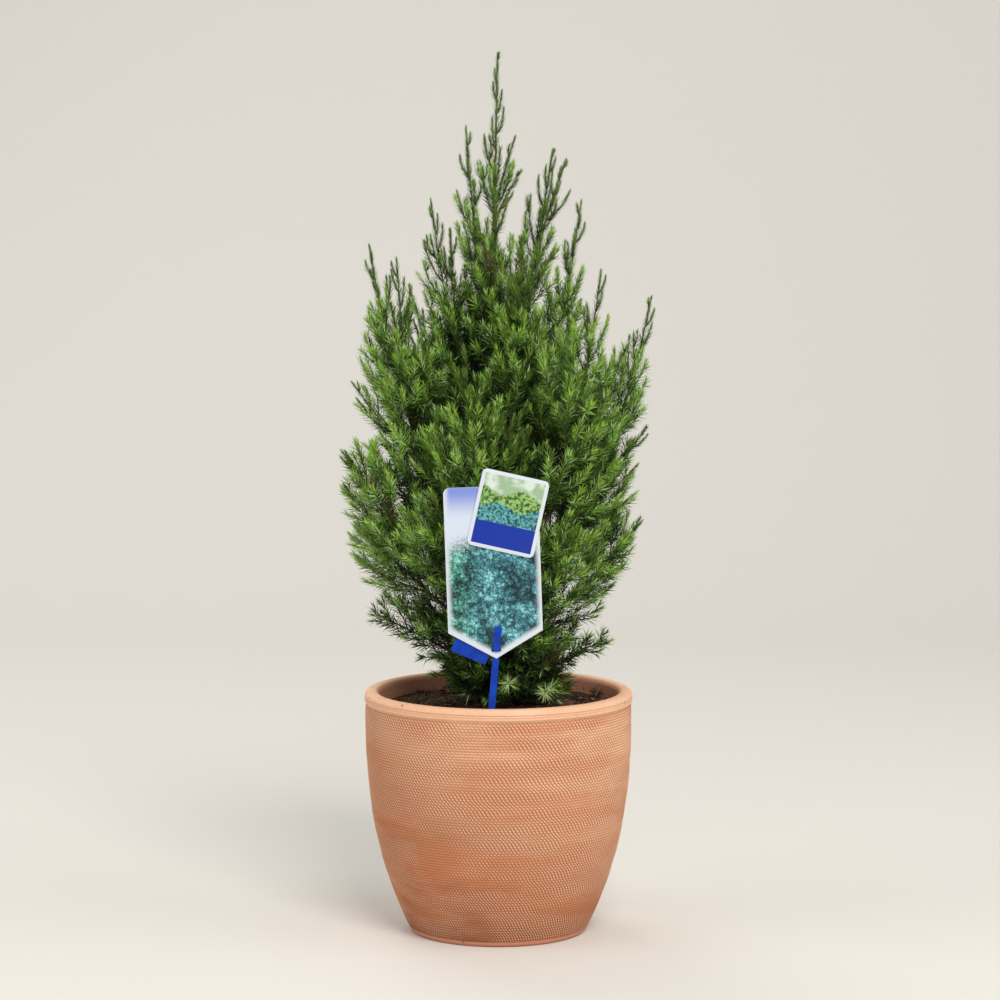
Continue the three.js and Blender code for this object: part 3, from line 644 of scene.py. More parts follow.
# %% Crumbs, chips and straws
LUMP_POINTS = np.array([[1, 0, 0], [0, 1, 0], [-1, 0, 0], [0, -1, 0], [0, 0, 1], [0, 0, -1]], float)
LUMP_FACES = np.array([[0, 1, 4], [1, 2, 4], [2, 3, 4], [3, 0, 4],
                       [1, 0, 5], [2, 1, 5], [3, 2, 5], [0, 3, 5]])
STREWN_RADIUS = 93
# name: how many, least and largest half sizes in mm, how uneven, tilt in radians, and how far sunk in
LOOSE_BITS = {
    "soil_crumbs": (5200, [[0.5, 0.5, 0.4], [1.9, 1.6, 1.2]], 0.35, 0.5, 0.35),
    "soil_chips": (620, [[2.2, 0.8, 0.35], [6.5, 2.2, 0.8]], 0.3, 0.25, 0.3),
    "soil_straws": (150, [[4.0, 0.25, 0.25], [11.0, 0.5, 0.45]], 0.15, 0.12, 0.2),
}


def random_turns(count, tilt):
    """Rotation matrices: any direction in the level plane, then tipped by up to tilt about a level axis."""
    yaw = rng.uniform(0, TURN, count)
    tip = rng.normal(0, tilt, count)
    c, s, ct, st = np.cos(yaw), np.sin(yaw), np.cos(tip), np.sin(tip)
    zero = np.zeros(count)
    level = np.stack([c, -s, zero, s, c, zero, zero, zero, zero + 1], axis=-1).reshape(-1, 3, 3)
    tipped = np.stack([ct, zero, st, zero, zero + 1, zero, -st, zero, ct], axis=-1).reshape(-1, 3, 3)
    return level @ tipped


def repeated(faces, count, corners):
    """The faces of one small shape, repeated for count copies of that many corners each."""
    return (faces[None] + corners * np.arange(count)[:, None, None]).reshape(-1, faces.shape[1])


def scatter(name, count, sizes, spread, tilt, sink):
    """Lumps strewn over the soil: half sizes are drawn between the two rows of sizes, corners are shifted at
    random, and each is sunk by a share of its height."""
    radius = STREWN_RADIUS * np.sqrt(rng.uniform(0.006, 1, count))
    angle = rng.uniform(0, TURN, count)
    half = rng.uniform(*np.array(sizes, float), (count, 3))
    x, y = radius * np.cos(angle), radius * np.sin(angle)
    middle = np.stack([x, y, soil_height(x, y) + half[:, 2] * (1 - 2 * sink)], axis=-1)
    corners = LUMP_POINTS + rng.uniform(-spread, spread, (count, len(LUMP_POINTS), 3))
    corners = (corners * half[:, None]) @ random_turns(count, tilt).transpose(0, 2, 1) + middle[:, None]
    faces = repeated(LUMP_FACES, count, len(LUMP_POINTS))
    return mesh_piece(name, corners.reshape(-1, 3), faces, smooth=False)


crumbs, chips, straws = [scatter(name, *bits) for name, bits in LOOSE_BITS.items()]
print("loose bits:", triangle_count(crumbs, chips, straws), "triangles")

# %% [markdown]
# Peat is nearly black and quite dull, bark chips are brown with a lighter broken side, and straw and dead
# needles are pale. Four finishes with their own noise keep the ground from looking like one material.

# %% Finishes of the soil
peat = mottled("peat", (48, 34, 27), (0.95, 0.2), (420, 4), (0.4, 0.66), [(30, 20, 16), (82, 54, 40)],
               (1400, 4, 0.0006))
crumb = mottled("peat_crumb", (62, 45, 35), (0.9, 0.25), (260, 3), (0.36, 0.66), [(38, 26, 20), (96, 66, 48)],
                (2200, 3, 0.0003))
chip = mottled("bark_chip", (104, 72, 52), (0.8, 0.3), (130, 3), (0.38, 0.62), [(64, 38, 28), (142, 98, 72)],
               (1500, 3, 0.0003))
straw = mottled("straw", (180, 156, 122), (0.7, 0.3), (40, 2), (0.36, 0.6), [(112, 84, 62), (206, 186, 150)],
                (2500, 2, 0.0001))
dress(soil, peat, ["soil"])
for piece, finish in ((crumbs, crumb), (chips, chip), (straws, straw)):
    dress(piece, finish)
print("nodes of each finish of the soil:", len(peat.nodes))

# %% [markdown]
# ## How the plant grows
#
# A juniper of this kind has one upright trunk. Rings of boughs leave it at a narrow angle and turn up
# towards the light, each ending in its own plume of foliage. The CAD model was grown by that rule, and the
# same rule is written here again, so that the finer twigs start from the same limbs and fill the same room.
#
# Every bough, twig and shoot is one bent line, a quadratic curve with a start a, a bend b and an end c.
# Three arrays hold any number of them, which lets thousands of shoots be worked out in one go.

# %% Bent lines
NEARLY_STRAIGHT = 0.02
CHANCE_WAYS = (12.9898, 78.233)


def size(vectors):
    """Lengths of the vectors, as a last axis of one."""
    return np.linalg.norm(vectors, axis=-1, keepdims=True)


def unit(vectors):
    """The vectors, made one long."""
    return vectors / np.maximum(size(vectors), 1e-9)


class Shoots:
    """Many bent lines at once: starts a, bends b and ends c, each an array of points, and plume, the number
    of the plume that each belongs to."""

    def __init__(self, a, b, c, plume):
        self.a, self.b, self.c = a, b, c
        self.plume = plume

    def pick(self, which):
        """Only some of the lines."""
        return Shoots(self.a[which], self.b[which], self.c[which], self.plume[which])

    def even(self, value):
        """The same value for every line."""
        return np.full(len(self.a), value)

    def point(self, share):
        """Points at shares of the lines: (1-s)^2 a + 2 s (1-s) b + s^2 c."""
        s = share[..., None]
        return (1 - s) ** 2 * self.a + 2 * s * (1 - s) * self.b + s**2 * self.c

    def heading(self, share):
        """Unit directions at shares of the lines: the derivative (1-s) (b-a) + s (c-b), made one long."""
        s = share[..., None]
        return unit((1 - s) * (self.b - self.a) + s * (self.c - self.b))

    def length(self):
        """Lengths, from four straight steps."""
        steps = np.stack([self.point(self.even(s)) for s in np.linspace(0, 1, 5)])
        return size(np.diff(steps, axis=0))[..., 0].sum(axis=0)

    def normal(self):
        """A direction square to the plane of each line, which stays the same along it."""
        along = self.c - self.a
        across = np.cross(self.b - self.a, along)
        spare = np.cross(along, np.where(np.abs(along)[:, 2:] > 1e-6, [1.0, 0.2, 0], [0, 0, 1.0]))
        return unit(np.where(size(across) < NEARLY_STRAIGHT * size(spare), spare, across))

    def part(self, first, last):
        """The stretch of each line between two shares, which is again a bent line."""
        p, q = first[:, None], last[:, None]
        bend = (1 - p) * (1 - q) * self.a + (p + q - 2 * p * q) * self.b + p * q * self.c
        return Shoots(self.point(first), bend, self.point(last), self.plume)


def together(*sets):
    """Several sets of bent lines as one."""
    parts = ("a", "b", "c", "plume")
    return Shoots(*(np.concatenate([getattr(one, part) for one in sets]) for part in parts))


def chance(seed, place):
    """A number from 0 to 1 that is always the same for the same seed and place."""
    wave = np.sin(np.asarray(seed) * CHANCE_WAYS[0] + place * CHANCE_WAYS[1]) * LARGE
    return wave - np.floor(wave)


print("chances of the seeds 0 to 3:", chance(np.arange(4), 1).round(2))

# %% [markdown]
# The trunk sways by a few millimetres, thins out towards its tip and flares where it meets the soil. Its
# measures, the rings of boughs and the boughs that stand out of the outline are those of the CAD model.

# %% Trunk and boughs
TRUNK_FOOT = 181.3
TRUNK_TIP = 555
TRUNK_RADIUS = 6.6
TRUNK_TIP_RADIUS = 1.7
FLARE = 3.2
FLARE_HEIGHT = 9
SWAY = 2.6
SWAY_X = (5.2, 0.4)
SWAY_Y = (4.1, 2.6)
PLANT_TOP = 697
LEADER_SHIFT = [0, 3.0, 3.5]  # to the right, at the leader's foot, bend and tip
TURN_PLAY = 10  # in degrees, by which a bough may miss its even place in the ring
REACH_PLAY = 0.08
FOOT_PLAY = 4
FOOT_STAGGER = 11  # by which every second bough starts higher

# name, count, foot, tip, reach, turn, lift, out, up, bare, radius, spray
TIERS = [
    ("skirt", 6, 188, 248, 94, 14, 20, 0.50, 0.60, 0.20, 2.3, 46),
    ("lower", 7, 210, 362, 114, -6, 50, 0.55, 0.50, 0.22, 2.7, 62),
    ("middle", 6, 246, 486, 98, 2, 40, 0.72, 0.34, 0.22, 2.5, 62),
    ("upper", 4, 328, 562, 56, 20, 20, 0.64, 0.36, 0.22, 2.0, 50),
    ("top", 3, 428, 616, 34, 24, 14, 0.62, 0.38, 0.26, 1.6, 42),
]
# tier and place in it: azimuth in degrees, reach, tip height
SPIRES = {
    ("skirt", 0): (-14, 86, 236), ("skirt", 3): (176, 98, 253), ("skirt", 4): (246, 62, 240),
    ("skirt", 5): (292, 60, 244), ("lower", 0): (2, 114, 328), ("lower", 3): (163, 121, 324),
    ("lower", 4): (188, 122, 386), ("lower", 5): (238, 98, 355), ("lower", 6): (303, 104, 332),
    ("middle", 0): (3, 121, 506), ("middle", 3): (178, 102, 547), ("middle", 4): (250, 78, 472),
    ("middle", 5): (-42, 106, 530), ("upper", 0): (12, 67, 582), ("upper", 2): (172, 54, 583),
    ("top", 0): (18, 45, 622), ("top", 1): (190, 26, 640),
}


def trunk_middle(height):
    """The trunk's middle line: x = s sin(5.2 t + 0.4) - s t and y = s sin(4.1 t + 2.6), with t from 0 at the
    soil to 1 at the plant's top and s the sway."""
    t = (height - TRUNK_FOOT) / (PLANT_TOP - TRUNK_FOOT)
    x = SWAY * np.sin(SWAY_X[0] * t + SWAY_X[1]) - SWAY * t
    return np.stack([x, SWAY * np.sin(SWAY_Y[0] * t + SWAY_Y[1]), height + 0 * t], axis=-1)


def plan_boughs():
    """One row for each bough: name, azimuth, reach, tip, foot, out, up, bare, radius, spray."""
    rows = []
    for level, (tier, count, foot, tip, reach, turn, lift, *rest) in enumerate(TIERS):
        for i in range(count):
            play = [chance(10 * level + i, place) - 0.5 for place in (1, 2, 3, 4)]
            own = (turn + 360 * i / count + TURN_PLAY * play[0], reach * (1 + REACH_PLAY * play[1]),
                   tip + lift * play[2])
            azimuth, own_reach, own_tip = SPIRES.get((tier, i), own)
            own_foot = foot + (FOOT_STAGGER if i % 2 else 0) + FOOT_PLAY * (play[3] + 0.5)
            rows.append((f"{tier}_{i + 1}", math.radians(azimuth), own_reach, own_tip, own_foot, *rest))
    return rows


boughs = plan_boughs()
bough_names = [row[0] for row in boughs]
azimuth, reach, tip, foot_height, out, up, bare, bough_radius, spray = np.array([row[1:] for row in boughs]).T
outward = level_way(azimuth)
starts = trunk_middle(foot_height)
bends = starts + (out * reach)[:, None] * outward
bends[:, 2] = foot_height + up * (tip - foot_height)
ends = reach[:, None] * outward
ends[:, 2] = tip
bough_lines = Shoots(starts, bends, ends, np.arange(len(boughs)))

leader_points = trunk_middle(np.array([TRUNK_TIP, (TRUNK_TIP + PLANT_TOP) / 2, PLANT_TOP]))
leader_points[:, 0] += LEADER_SHIFT
print(len(boughs), "boughs, from", round(float(foot_height.min())), "to", round(float(tip.max())), "mm up")

# %% [markdown]
# The plumes begin where the bare part of a bough ends. After them comes the leader, the stem that carries
# on from the trunk's tip to the top of the plant. Some stems fork once more on the way up, and each fork
# ends in a lesser tip of its own beside the main one.

# %% Plumes
FORK_BEND = 0.45
FORK_SIDE = 0.3
FORK_SPRAY = 46
LEADER_SPRAY = 40
STEM_THINNER = 0.62  # a plume's stem against the bough that it ends
LEADER_RADIUS = 1.2
FORK_RADIUS = 1.1
# stem that forks, share of it where the fork leaves, and the fork's tip in mm
FORKS = [
    ("middle_4", 0.38, (-80, -12, 537)), ("middle_4", 0.12, (-116, 10, 438)),
    ("top_1", 0.45, (53, 6, 614)), ("leader", 0.10, (13, -6, 632)), ("leader", 0.04, (18, 8, 606)),
    ("middle_1", 0.15, (117, -10, 404)), ("middle_6", 0.30, (100, -48, 470)),
    ("middle_5", 0.20, (22, -84, 430)), ("upper_3", 0.30, (-38, -18, 560)),
    ("middle_2", 0.30, (66, 74, 500)), ("middle_3", 0.30, (-70, 62, 506)),
    ("upper_4", 0.30, (34, -38, 556)),
]

bare_limbs = bough_lines.part(0 * bare, bare)
main_names = [*bough_names, "leader"]
LEADER = len(bough_names)
leader_stem = Shoots(*leader_points[:, None], np.array([LEADER]))
main_stems = together(bough_lines.part(bare, 0 * bare + 1), leader_stem)


def fork_stems():
    """Stems that leave a main stem along its own heading and then bend over to their tips."""
    of_stem = np.array([main_names.index(name) for name, _, _ in FORKS])
    share = np.array([at for _, at, _ in FORKS])
    tips = np.array([place for _, _, place in FORKS], dtype=float)
    stems = main_stems.pick(of_stem)
    start, way = stems.point(share), stems.heading(share)
    side = tips - start - ((tips - start) * way).sum(-1, keepdims=True) * way
    bend = start + FORK_BEND * size(tips - start) * way + FORK_SIDE * side
    return Shoots(start, bend, tips, of_stem)


forks = fork_stems()
plumes = together(main_stems, forks)
plumes.plume = np.arange(len(plumes.a))
plume_names = main_names + [main_names[i] for i in forks.plume]
plume_spray = np.concatenate([spray, [LEADER_SPRAY], forks.even(FORK_SPRAY)])
plume_radius = np.concatenate([STEM_THINNER * bough_radius, [LEADER_RADIUS], forks.even(FORK_RADIUS)])
plume_outward = np.concatenate([outward, [[1.0, 0, 0]], unit(forks.c * (1, 1, 0))])
print(len(plume_names), "plumes, of which", len(FORKS), "are forks")

# %% [markdown]
# A plume keeps to its own room: a point belongs to the plume whose stem is nearest. The crown has an
# outline too, like a flame that leans a little, and nothing grows through the label or into the soil. Every
# new twig is tested at its end and on its way, and shortened until it fits.

# %% Room for growth
# height, how far the crown's middle lies to the right of the pot's, and its radius there
CROWN_PROFILE = np.array([
    (186, 5, 52), (216, 4, 62), (250, -7, 86), (282, -8, 104), (312, -7, 117), (350, -7, 117), (420, -1, 117),
    (480, 7, 115), (522, 6, 102), (582, 4, 66), (634, -5, 30), (697, -3, 8),
])
FRONT_DEPTH = 0.85
LABEL_X = -1.5
LABEL_Y = -92
LABEL_HALF = 36.5
LABEL_TOP = 365.5
LABEL_ROOM = 6
ABOVE_LABEL = 20
ABOVE_SOIL = 6
PLUME_OVERLAP = 10  # how far neighbouring plumes may reach into each other
STEM_SAMPLES = 13
STEM_ROOM = 9  # round a plume's own stem, room that it has even where the stem stands out of the crown

stem_points = np.stack([plumes.point(plumes.even(s)) for s in np.linspace(0, 1, STEM_SAMPLES)], axis=1)


def crown_share(points):
    """How far out the points lie, from 0 on the crown's middle line to 1 at its outline. The crown is a
    little flatter in front."""
    levels, shift, radius = CROWN_PROFILE.T
    x = points[:, 0] - np.interp(points[:, 2], levels, shift)
    y = np.where(points[:, 1] < 0, points[:, 1] / FRONT_DEPTH, points[:, 1])
    return np.hypot(x, y) / np.interp(points[:, 2], levels, radius)


def stem_distance(points):
    """Distance from each point to each plume's stem, which is taken as straight steps between samples."""
    first, step = stem_points[:, :-1], np.diff(stem_points, axis=1)
    least = np.full((len(points), len(plume_names)), np.inf)
    for k in range(STEM_SAMPLES - 1):
        offset = points[:, None] - first[None, :, k]
        share = (offset * step[None, :, k]).sum(-1) / (step[:, k] ** 2).sum(-1)
        foot_offset = offset - np.clip(share, 0, 1)[..., None] * step[None, :, k]
        least = np.minimum(least, size(foot_offset)[..., 0])
    return least


def clear_of_label(points, room):
    """Whether the points are beside, above or behind the label."""
    beside = np.abs(points[:, 0] - LABEL_X) > LABEL_HALF + room
    return beside | (points[:, 2] > LABEL_TOP + ABOVE_LABEL) | (points[:, 1] > LABEL_Y + room)


def has_room(points, plume, overlap):
    """Whether the points may be filled by the plume, which may reach into its neighbours by the overlap."""
    distance = stem_distance(points)
    own = distance[np.arange(len(points)), plume]
    inside = (crown_share(points) < 1) | (own < STEM_ROOM)
    above_soil = points[:, 2] > SOIL_LEVEL + ABOVE_SOIL
    return (own < distance.min(axis=1) + overlap) & inside & above_soil & clear_of_label(points, LABEL_ROOM)


in_crown = crown_share(stem_points.reshape(-1, 3)) < 1
print(round(100 * float(in_crown.mean())), "% of the stems' samples lie inside the crown's outline")

# %% [markdown]
# Twigs branch by one rule at every size. Along the parent they stand at even steps and turn on round it by
# the golden angle, which is how real shoots avoid shading each other. Each leans out by its own angle,
# turns up a little towards the light and curves back towards its parent's heading.

# %% Branching
GOLDEN_SHARE = (math.sqrt(5) - 1) / 2
PARENT_SHARE = 0.37  # of a turn, by which the first shoots of neighbouring parents differ
LEAN_CLOSING = 0.35  # how much less the last shoots lean
EARLY_SIDE = 0.35  # how much more a shoot leans at its foot
STEP_PLAY = (0.1, 0.9)
LEAN_PLAY = (0.85, 1.15)
LENGTH_PLAY = (0.82, 1.12)
ROOM_STEPS = [1.0, 0.85, 0.7, 0.55, 0.42]
ON_THE_WAY = 0.6  # share of a shoot where its way is tested


def branch(parents, outward, steps, lean, longest, rise, spread, rng, overlap=PLUME_OVERLAP):
    """Side shoots of every parent: steps are the first and last share and the number on each parent.

    With heading t, outward o made square to it and around = t x o, a shoot leaves along
    cos(lean) t + sin(lean) (cos(turn) o + sin(turn) around), raised by rise."""
    first, last, counts = steps
    which = np.repeat(np.arange(len(counts)), counts)
    place = np.arange(len(which)) - np.repeat(np.cumsum(counts) - counts, counts)
    share = first + (last - first) * (place + rng.uniform(*STEP_PLAY, len(which))) / counts[which]
    parent = parents.pick(which)
    middle, way = parent.point(share), parent.heading(share)
    o = outward[which]
    o = unit(o - (o * way).sum(-1, keepdims=True) * way)
    around = np.cross(way, o)
    turn = spread[which] * (2 * ((GOLDEN_SHARE * (place + 1) + PARENT_SHARE * which) % 1) - 1)
    side = np.cos(turn)[:, None] * o + np.sin(turn)[:, None] * around
    angle = (lean[which] * (1 - LEAN_CLOSING * share) * rng.uniform(*LEAN_PLAY, len(which)))[:, None]
    out = np.cos(angle) * way + np.sin(angle) * side
    out[:, 2] += rise[which]
    out = unit(out)
    early = unit(out + EARLY_SIDE * side)
    length = longest(which, share) * rng.uniform(*LENGTH_PLAY, len(which))
    made = Shoots(middle, middle, middle, parent.plume)
    kept = np.zeros(len(which), bool)
    for shrink in ROOM_STEPS:
        long = (length * shrink)[:, None]
        trial = Shoots(middle, middle + 0.5 * long * early, middle + long * out, parent.plume)
        fits = has_room(trial.c, trial.plume, overlap)
        fits &= has_room(trial.point(trial.even(ON_THE_WAY)), trial.plume, overlap)
        new = (fits & ~kept)[:, None]
        made.b = np.where(new, trial.b, made.b)
        made.c = np.where(new, trial.c, made.c)
        kept |= fits
    side_way = unit(np.cross(out, np.cross(side, out)) + 1e-6)
    return made.pick(kept), side_way[kept]


print("one side shoot follows the other by", round(360 * GOLDEN_SHARE, 1), "degrees")

# %% [markdown]
# The first round of twigs leaves each plume's stem. Towards the stem's end they are shorter and closer to
# it, so a plume narrows to a point, and its last stretch is slender and open: one number tells how full a
# place is, 0 at the plume's tip and 1 from some way below it, and where it is low every second twig is left
# out. A second set leaves the bare limbs inside the crown, where it hides the trunk.

# %% Twigs
# tier: step between twigs, a twig's longest length as a share of what is left of its stem and of its mass's
# own spray, its lean, rise and spread to either side of outward, how far from the tip growth is full, and the
# share of the stem without needles
TIER_GROWTH = {
    "skirt": (4.3, 1.1, 1.15, 0.90, 0.06, math.pi, 10, 0.15),
    "lower": (4.9, 0.9, 1.42, 0.82, 0.34, 2.9, 24, 0.25),
    "middle": (6.0, 0.6, 1.4, 0.74, 0.38, 2.9, 75, 0.4),
    "upper": (5.2, 0.52, 1.0, 0.54, 0.22, math.pi, 90, 0.25),
    "top": (5.2, 0.52, 1.0, 0.48, 0.10, math.pi, 105, 0.1),
    "leader": (6.0, 0.34, 1.0, 0.42, 0.04, math.pi, 150, 0.0),
}
TWIGGED = 0.9  # of a stem's length
TWIG_SHARES = (0.04, 0.97)  # of a stem, where its first and last twigs may stand
LEAST_TWIGS = 4
LEADER_TWIGS = 19
TIP_ROOM = 4
SPRAY_NARROWS = (1.08, 0.5)  # a twig's length against its spray, and how much less at the stem's end
SLENDER_TWIGS = 0.55  # fullness below which every second twig is left out
INNER_TWIGS = 12  # on each bare limb
INNER_SHARES = (0.25, 1.0)
INNER_LENGTH = (24, 42)  # at the limb's foot and its end
INNER_LEAN = 0.95
INNER_RISE = 0.15
INNER_DROOP = -0.06
INNER_OVERLAP = 60
LOW_TIPS = 330  # boughs with lower tips than this have inner twigs that hang a little

twig_rng = np.random.default_rng(42)
stem_length = plumes.length()
plume_tier = [name.split("_")[0] for name in plume_names]
(twig_step, tip_ratio, spray_way, twig_lean, twig_rise, twig_spread, slender_length,
 stem_bare) = np.array([TIER_GROWTH[tier] for tier in plume_tier]).T
twig_counts = np.maximum((stem_length * TWIGGED / twig_step).astype(int), LEAST_TWIGS)
twig_counts[LEADER] = LEADER_TWIGS


def between(pair, share):
    """The value at a share of the way from the first of a pair to the second."""
    return pair[0] + (pair[1] - pair[0]) * share


def fullness(lines):
    """How full the growth is at the lines' ends: 0 at the tip of their plume, 1 well away from it."""
    return np.clip(size(plumes.c[lines.plume] - lines.c)[:, 0] / slender_length[lines.plume], 0, 1)


def twig_reach(which, share):
    """A twig's longest length: less towards its stem's end, and never past it."""
    wide = plume_spray[which] * spray_way[which] * (SPRAY_NARROWS[0] - SPRAY_NARROWS[1] * share)
    return np.minimum(wide, TIP_ROOM + tip_ratio[which] * (stem_length[which] * (1 - share)))


def inner_reach(which, share):
    """The length of a twig on the bare part of a limb, longer further out."""
    return between(INNER_LENGTH, share)


outer_twigs, outer_way = branch(plumes, plume_outward, (*TWIG_SHARES, twig_counts), twig_lean, twig_reach,
                                twig_rise, twig_spread, twig_rng)
many = (fullness(outer_twigs) > SLENDER_TWIGS) | (np.arange(len(outer_twigs.a)) % 2 > 0)
outer_twigs, outer_way = outer_twigs.pick(many), outer_way[many]
limb_steps = (*INNER_SHARES, bare_limbs.even(INNER_TWIGS))
inner_rise = np.where(tip < LOW_TIPS, INNER_DROOP, INNER_RISE)
inner_twigs, inner_way = branch(bare_limbs, outward, limb_steps, bare_limbs.even(INNER_LEAN), inner_reach,
                                inner_rise, bare_limbs.even(math.pi), twig_rng, INNER_OVERLAP)
print(len(outer_twigs.a), "twigs on the plumes and", len(inner_twigs.a), "inside")

# %% [markdown]
# Round the foot, short twigs lie low over the soil and hide where the trunk goes in. Among them a few young
# shoots stand out with long pale needles, like small stars.

# %% Twigs at the foot
FOOT_TWIGS = 30
FOOT_LEVELS = (187, 212)
FOOT_LENGTHS = (34, 52)
FOOT_BEND = 0.55
FOOT_RISE = (4, 15)
FROM_MIDDLE = 3
STARS = [(277, 64, 209), (300, 76, 203), (128, 58, 204), (38, 60, 206)]  # degrees, out, up
STAR_LENGTH = 9
STAR_WAY = (0.5, 1, 1)
STAR_LIFT = 0.3
STAR_BEND = 0.6
GOLDEN_ANGLE = math.pi * (3 - math.sqrt(5))
SKIRT_COUNT = TIERS[0][1]


def foot_twigs(rng):
    """Low twigs round the trunk, turned on by the golden angle: they leave flat and turn up at their ends.
    Each belongs to the skirt's plume that is nearest in turn."""
    i = np.arange(FOOT_TWIGS)
    angle = GOLDEN_ANGLE * i
    away = level_way(angle)
    low, high = FOOT_LEVELS
    start = trunk_middle(low + (high - low) * i / FOOT_TWIGS) + FROM_MIDDLE * away
    length = rng.uniform(*FOOT_LENGTHS, FOOT_TWIGS)[:, None]
    end = start + length * away + [0, 0, 1] * rng.uniform(*FOOT_RISE, FOOT_TWIGS)[:, None]
    skirt_angle = np.arctan2(plume_outward[:SKIRT_COUNT, 1], plume_outward[:SKIRT_COUNT, 0])
    turned_by = (skirt_angle - angle[:, None] + math.pi) % TURN - math.pi
    return Shoots(start, start + FOOT_BEND * length * away, end, np.abs(turned_by).argmin(axis=1)), away


low_twigs, low_way = foot_twigs(twig_rng)
twigs = together(outer_twigs, inner_twigs, low_twigs)
twig_way = np.concatenate([outer_way, inner_way, low_way])

star_turn, star_out, star_up = np.array(STARS, dtype=float).T
star_away = level_way(np.radians(star_turn))
star_tips = star_out[:, None] * star_away
star_tips[:, 2] = star_up
star_feet = star_tips - STAR_LENGTH * unit(star_away * STAR_WAY + [0, 0, STAR_LIFT])
star_bends = (star_feet + star_tips) / 2 - [0, 0, STAR_BEND]
stars = Shoots(star_feet, star_bends, star_tips, np.zeros(len(STARS), int))
print(len(low_twigs.a), "twigs at the foot and", len(stars.a), "stars")

# %% [markdown]
# The second round leaves the twigs: short shoots of young growth, which carry most of the needles. On a
# slender twig near the tip of a plume they are fewer, shorter and closer to it, down to thin tips.

# %% Shoots
SHOOT_STEP = 13.0
SHOOT_SHARES = (0.15, 0.92)
SHOOT_LEAN = 0.6
SHOOT_RISE = 0.26
SHOOT_OF_TWIG = 0.85
SHOOT_LENGTHS = (14, 44)
SHOOT_NARROWS = (1.1, 0.4)
SHOOT_TIP_ROOM = 4
SHOOT_TIP_RATIO = 0.8
# how much of a full twig's count, length and lean the shoots of the most slender and of a full twig have
COUNT_WAY = (0.2, 1)
LENGTH_WAY = (0.5, 1)
LEAN_WAY = (0.6, 1)
ONE_SHOOT = 0.4  # fullness from which a twig has one shoot at least

twig_full = fullness(twigs)
twig_length = twigs.length()
shoot_counts = (twig_length * between(COUNT_WAY, twig_full) / SHOOT_STEP).astype(int)
shoot_counts = np.maximum(shoot_counts, twig_full > ONE_SHOOT)


def shoot_reach(which, share):
    """The longest length of a shoot: a share of its twig's, less towards the twig's end."""
    longest = np.clip(SHOOT_OF_TWIG * twig_length[which], *SHOOT_LENGTHS)
    longest = longest * (SHOOT_NARROWS[0] - SHOOT_NARROWS[1] * share) * between(LENGTH_WAY, twig_full[which])
    return np.minimum(longest, SHOOT_TIP_ROOM + SHOOT_TIP_RATIO * (twig_length[which] * (1 - share)))


shoots, _ = branch(twigs, twig_way, (*SHOOT_SHARES, shoot_counts), SHOOT_LEAN * between(LEAN_WAY, twig_full),
                   shoot_reach, twigs.even(SHOOT_RISE), twigs.even(math.pi), twig_rng)
growth_metres = (twig_length.sum() + shoots.length().sum()) * MM
print(len(twigs.a), "twigs and", len(shoots.a), "shoots,", round(growth_metres, 1), "m in all")

# %% [markdown]
# ## Needles
#
# A juniper's young needles are awl-shaped: pointed, stiff, flat above and keeled below, in whorls of three
# that alternate. They stand off from the shoot by 33 to 58 degrees, the more the fuller the growth is, and
# close up towards the bud at its tip. Real ones are 6 to 9 mm long, and these are a little longer and
# wider, so that fewer of them fill the crown. On the slender tips of the plumes they are short and lie
# close to the stem.
#
# One needle is four points and four faces: its root and its point, which are the two ends of the keel, and
# the two edges of its flat upper side at its widest place. That is few enough for more than a hundred
# thousand of them, and it keeps each needle's own outline.

# %% Needle arrays
# a pair gives the value on slender and on full growth
WHORL_STEP = (1.3, 1.45)
NEEDLE_LENGTH = (4.5, 9.8)
NEEDLE_LEAN = (0.58, 1.02)
NEEDLE_TIP_LEAN = (0.28, 0.46)
NEEDLE_WIDTH = 1.05
LEAST_WIDTH = 0.85  # as a share of it, for short needles
NEEDLE_KEEL = 0.45
NEEDLE_WIDEST = 0.32  # share of its length from the root
NEEDLE_CURL = 0.12
NEEDLE_PLAY = (0.84, 1.1)
NEEDLE_ROOT = 0.6  # share of the stem's radius where needles begin
IN_WHORL = 3
LEAST_WHORLS = 2
WHORL_PLAY = (0.35, 0.65)
WHORL_TURN = 2.4  # radians by which the whorls of neighbouring lines differ
WHORL_LOOSE = 0.3  # radians by which a needle may miss its place round the stem
TIP_SHARE = 0.4  # the last part of a shoot, where needles get shorter and close up
TIP_SHORTER = 0.3
NEEDLE_FACES = np.array([[0, 2, 1], [0, 1, 3], [0, 3, 2], [1, 2, 3]])
NEEDLE_POINTS = 4


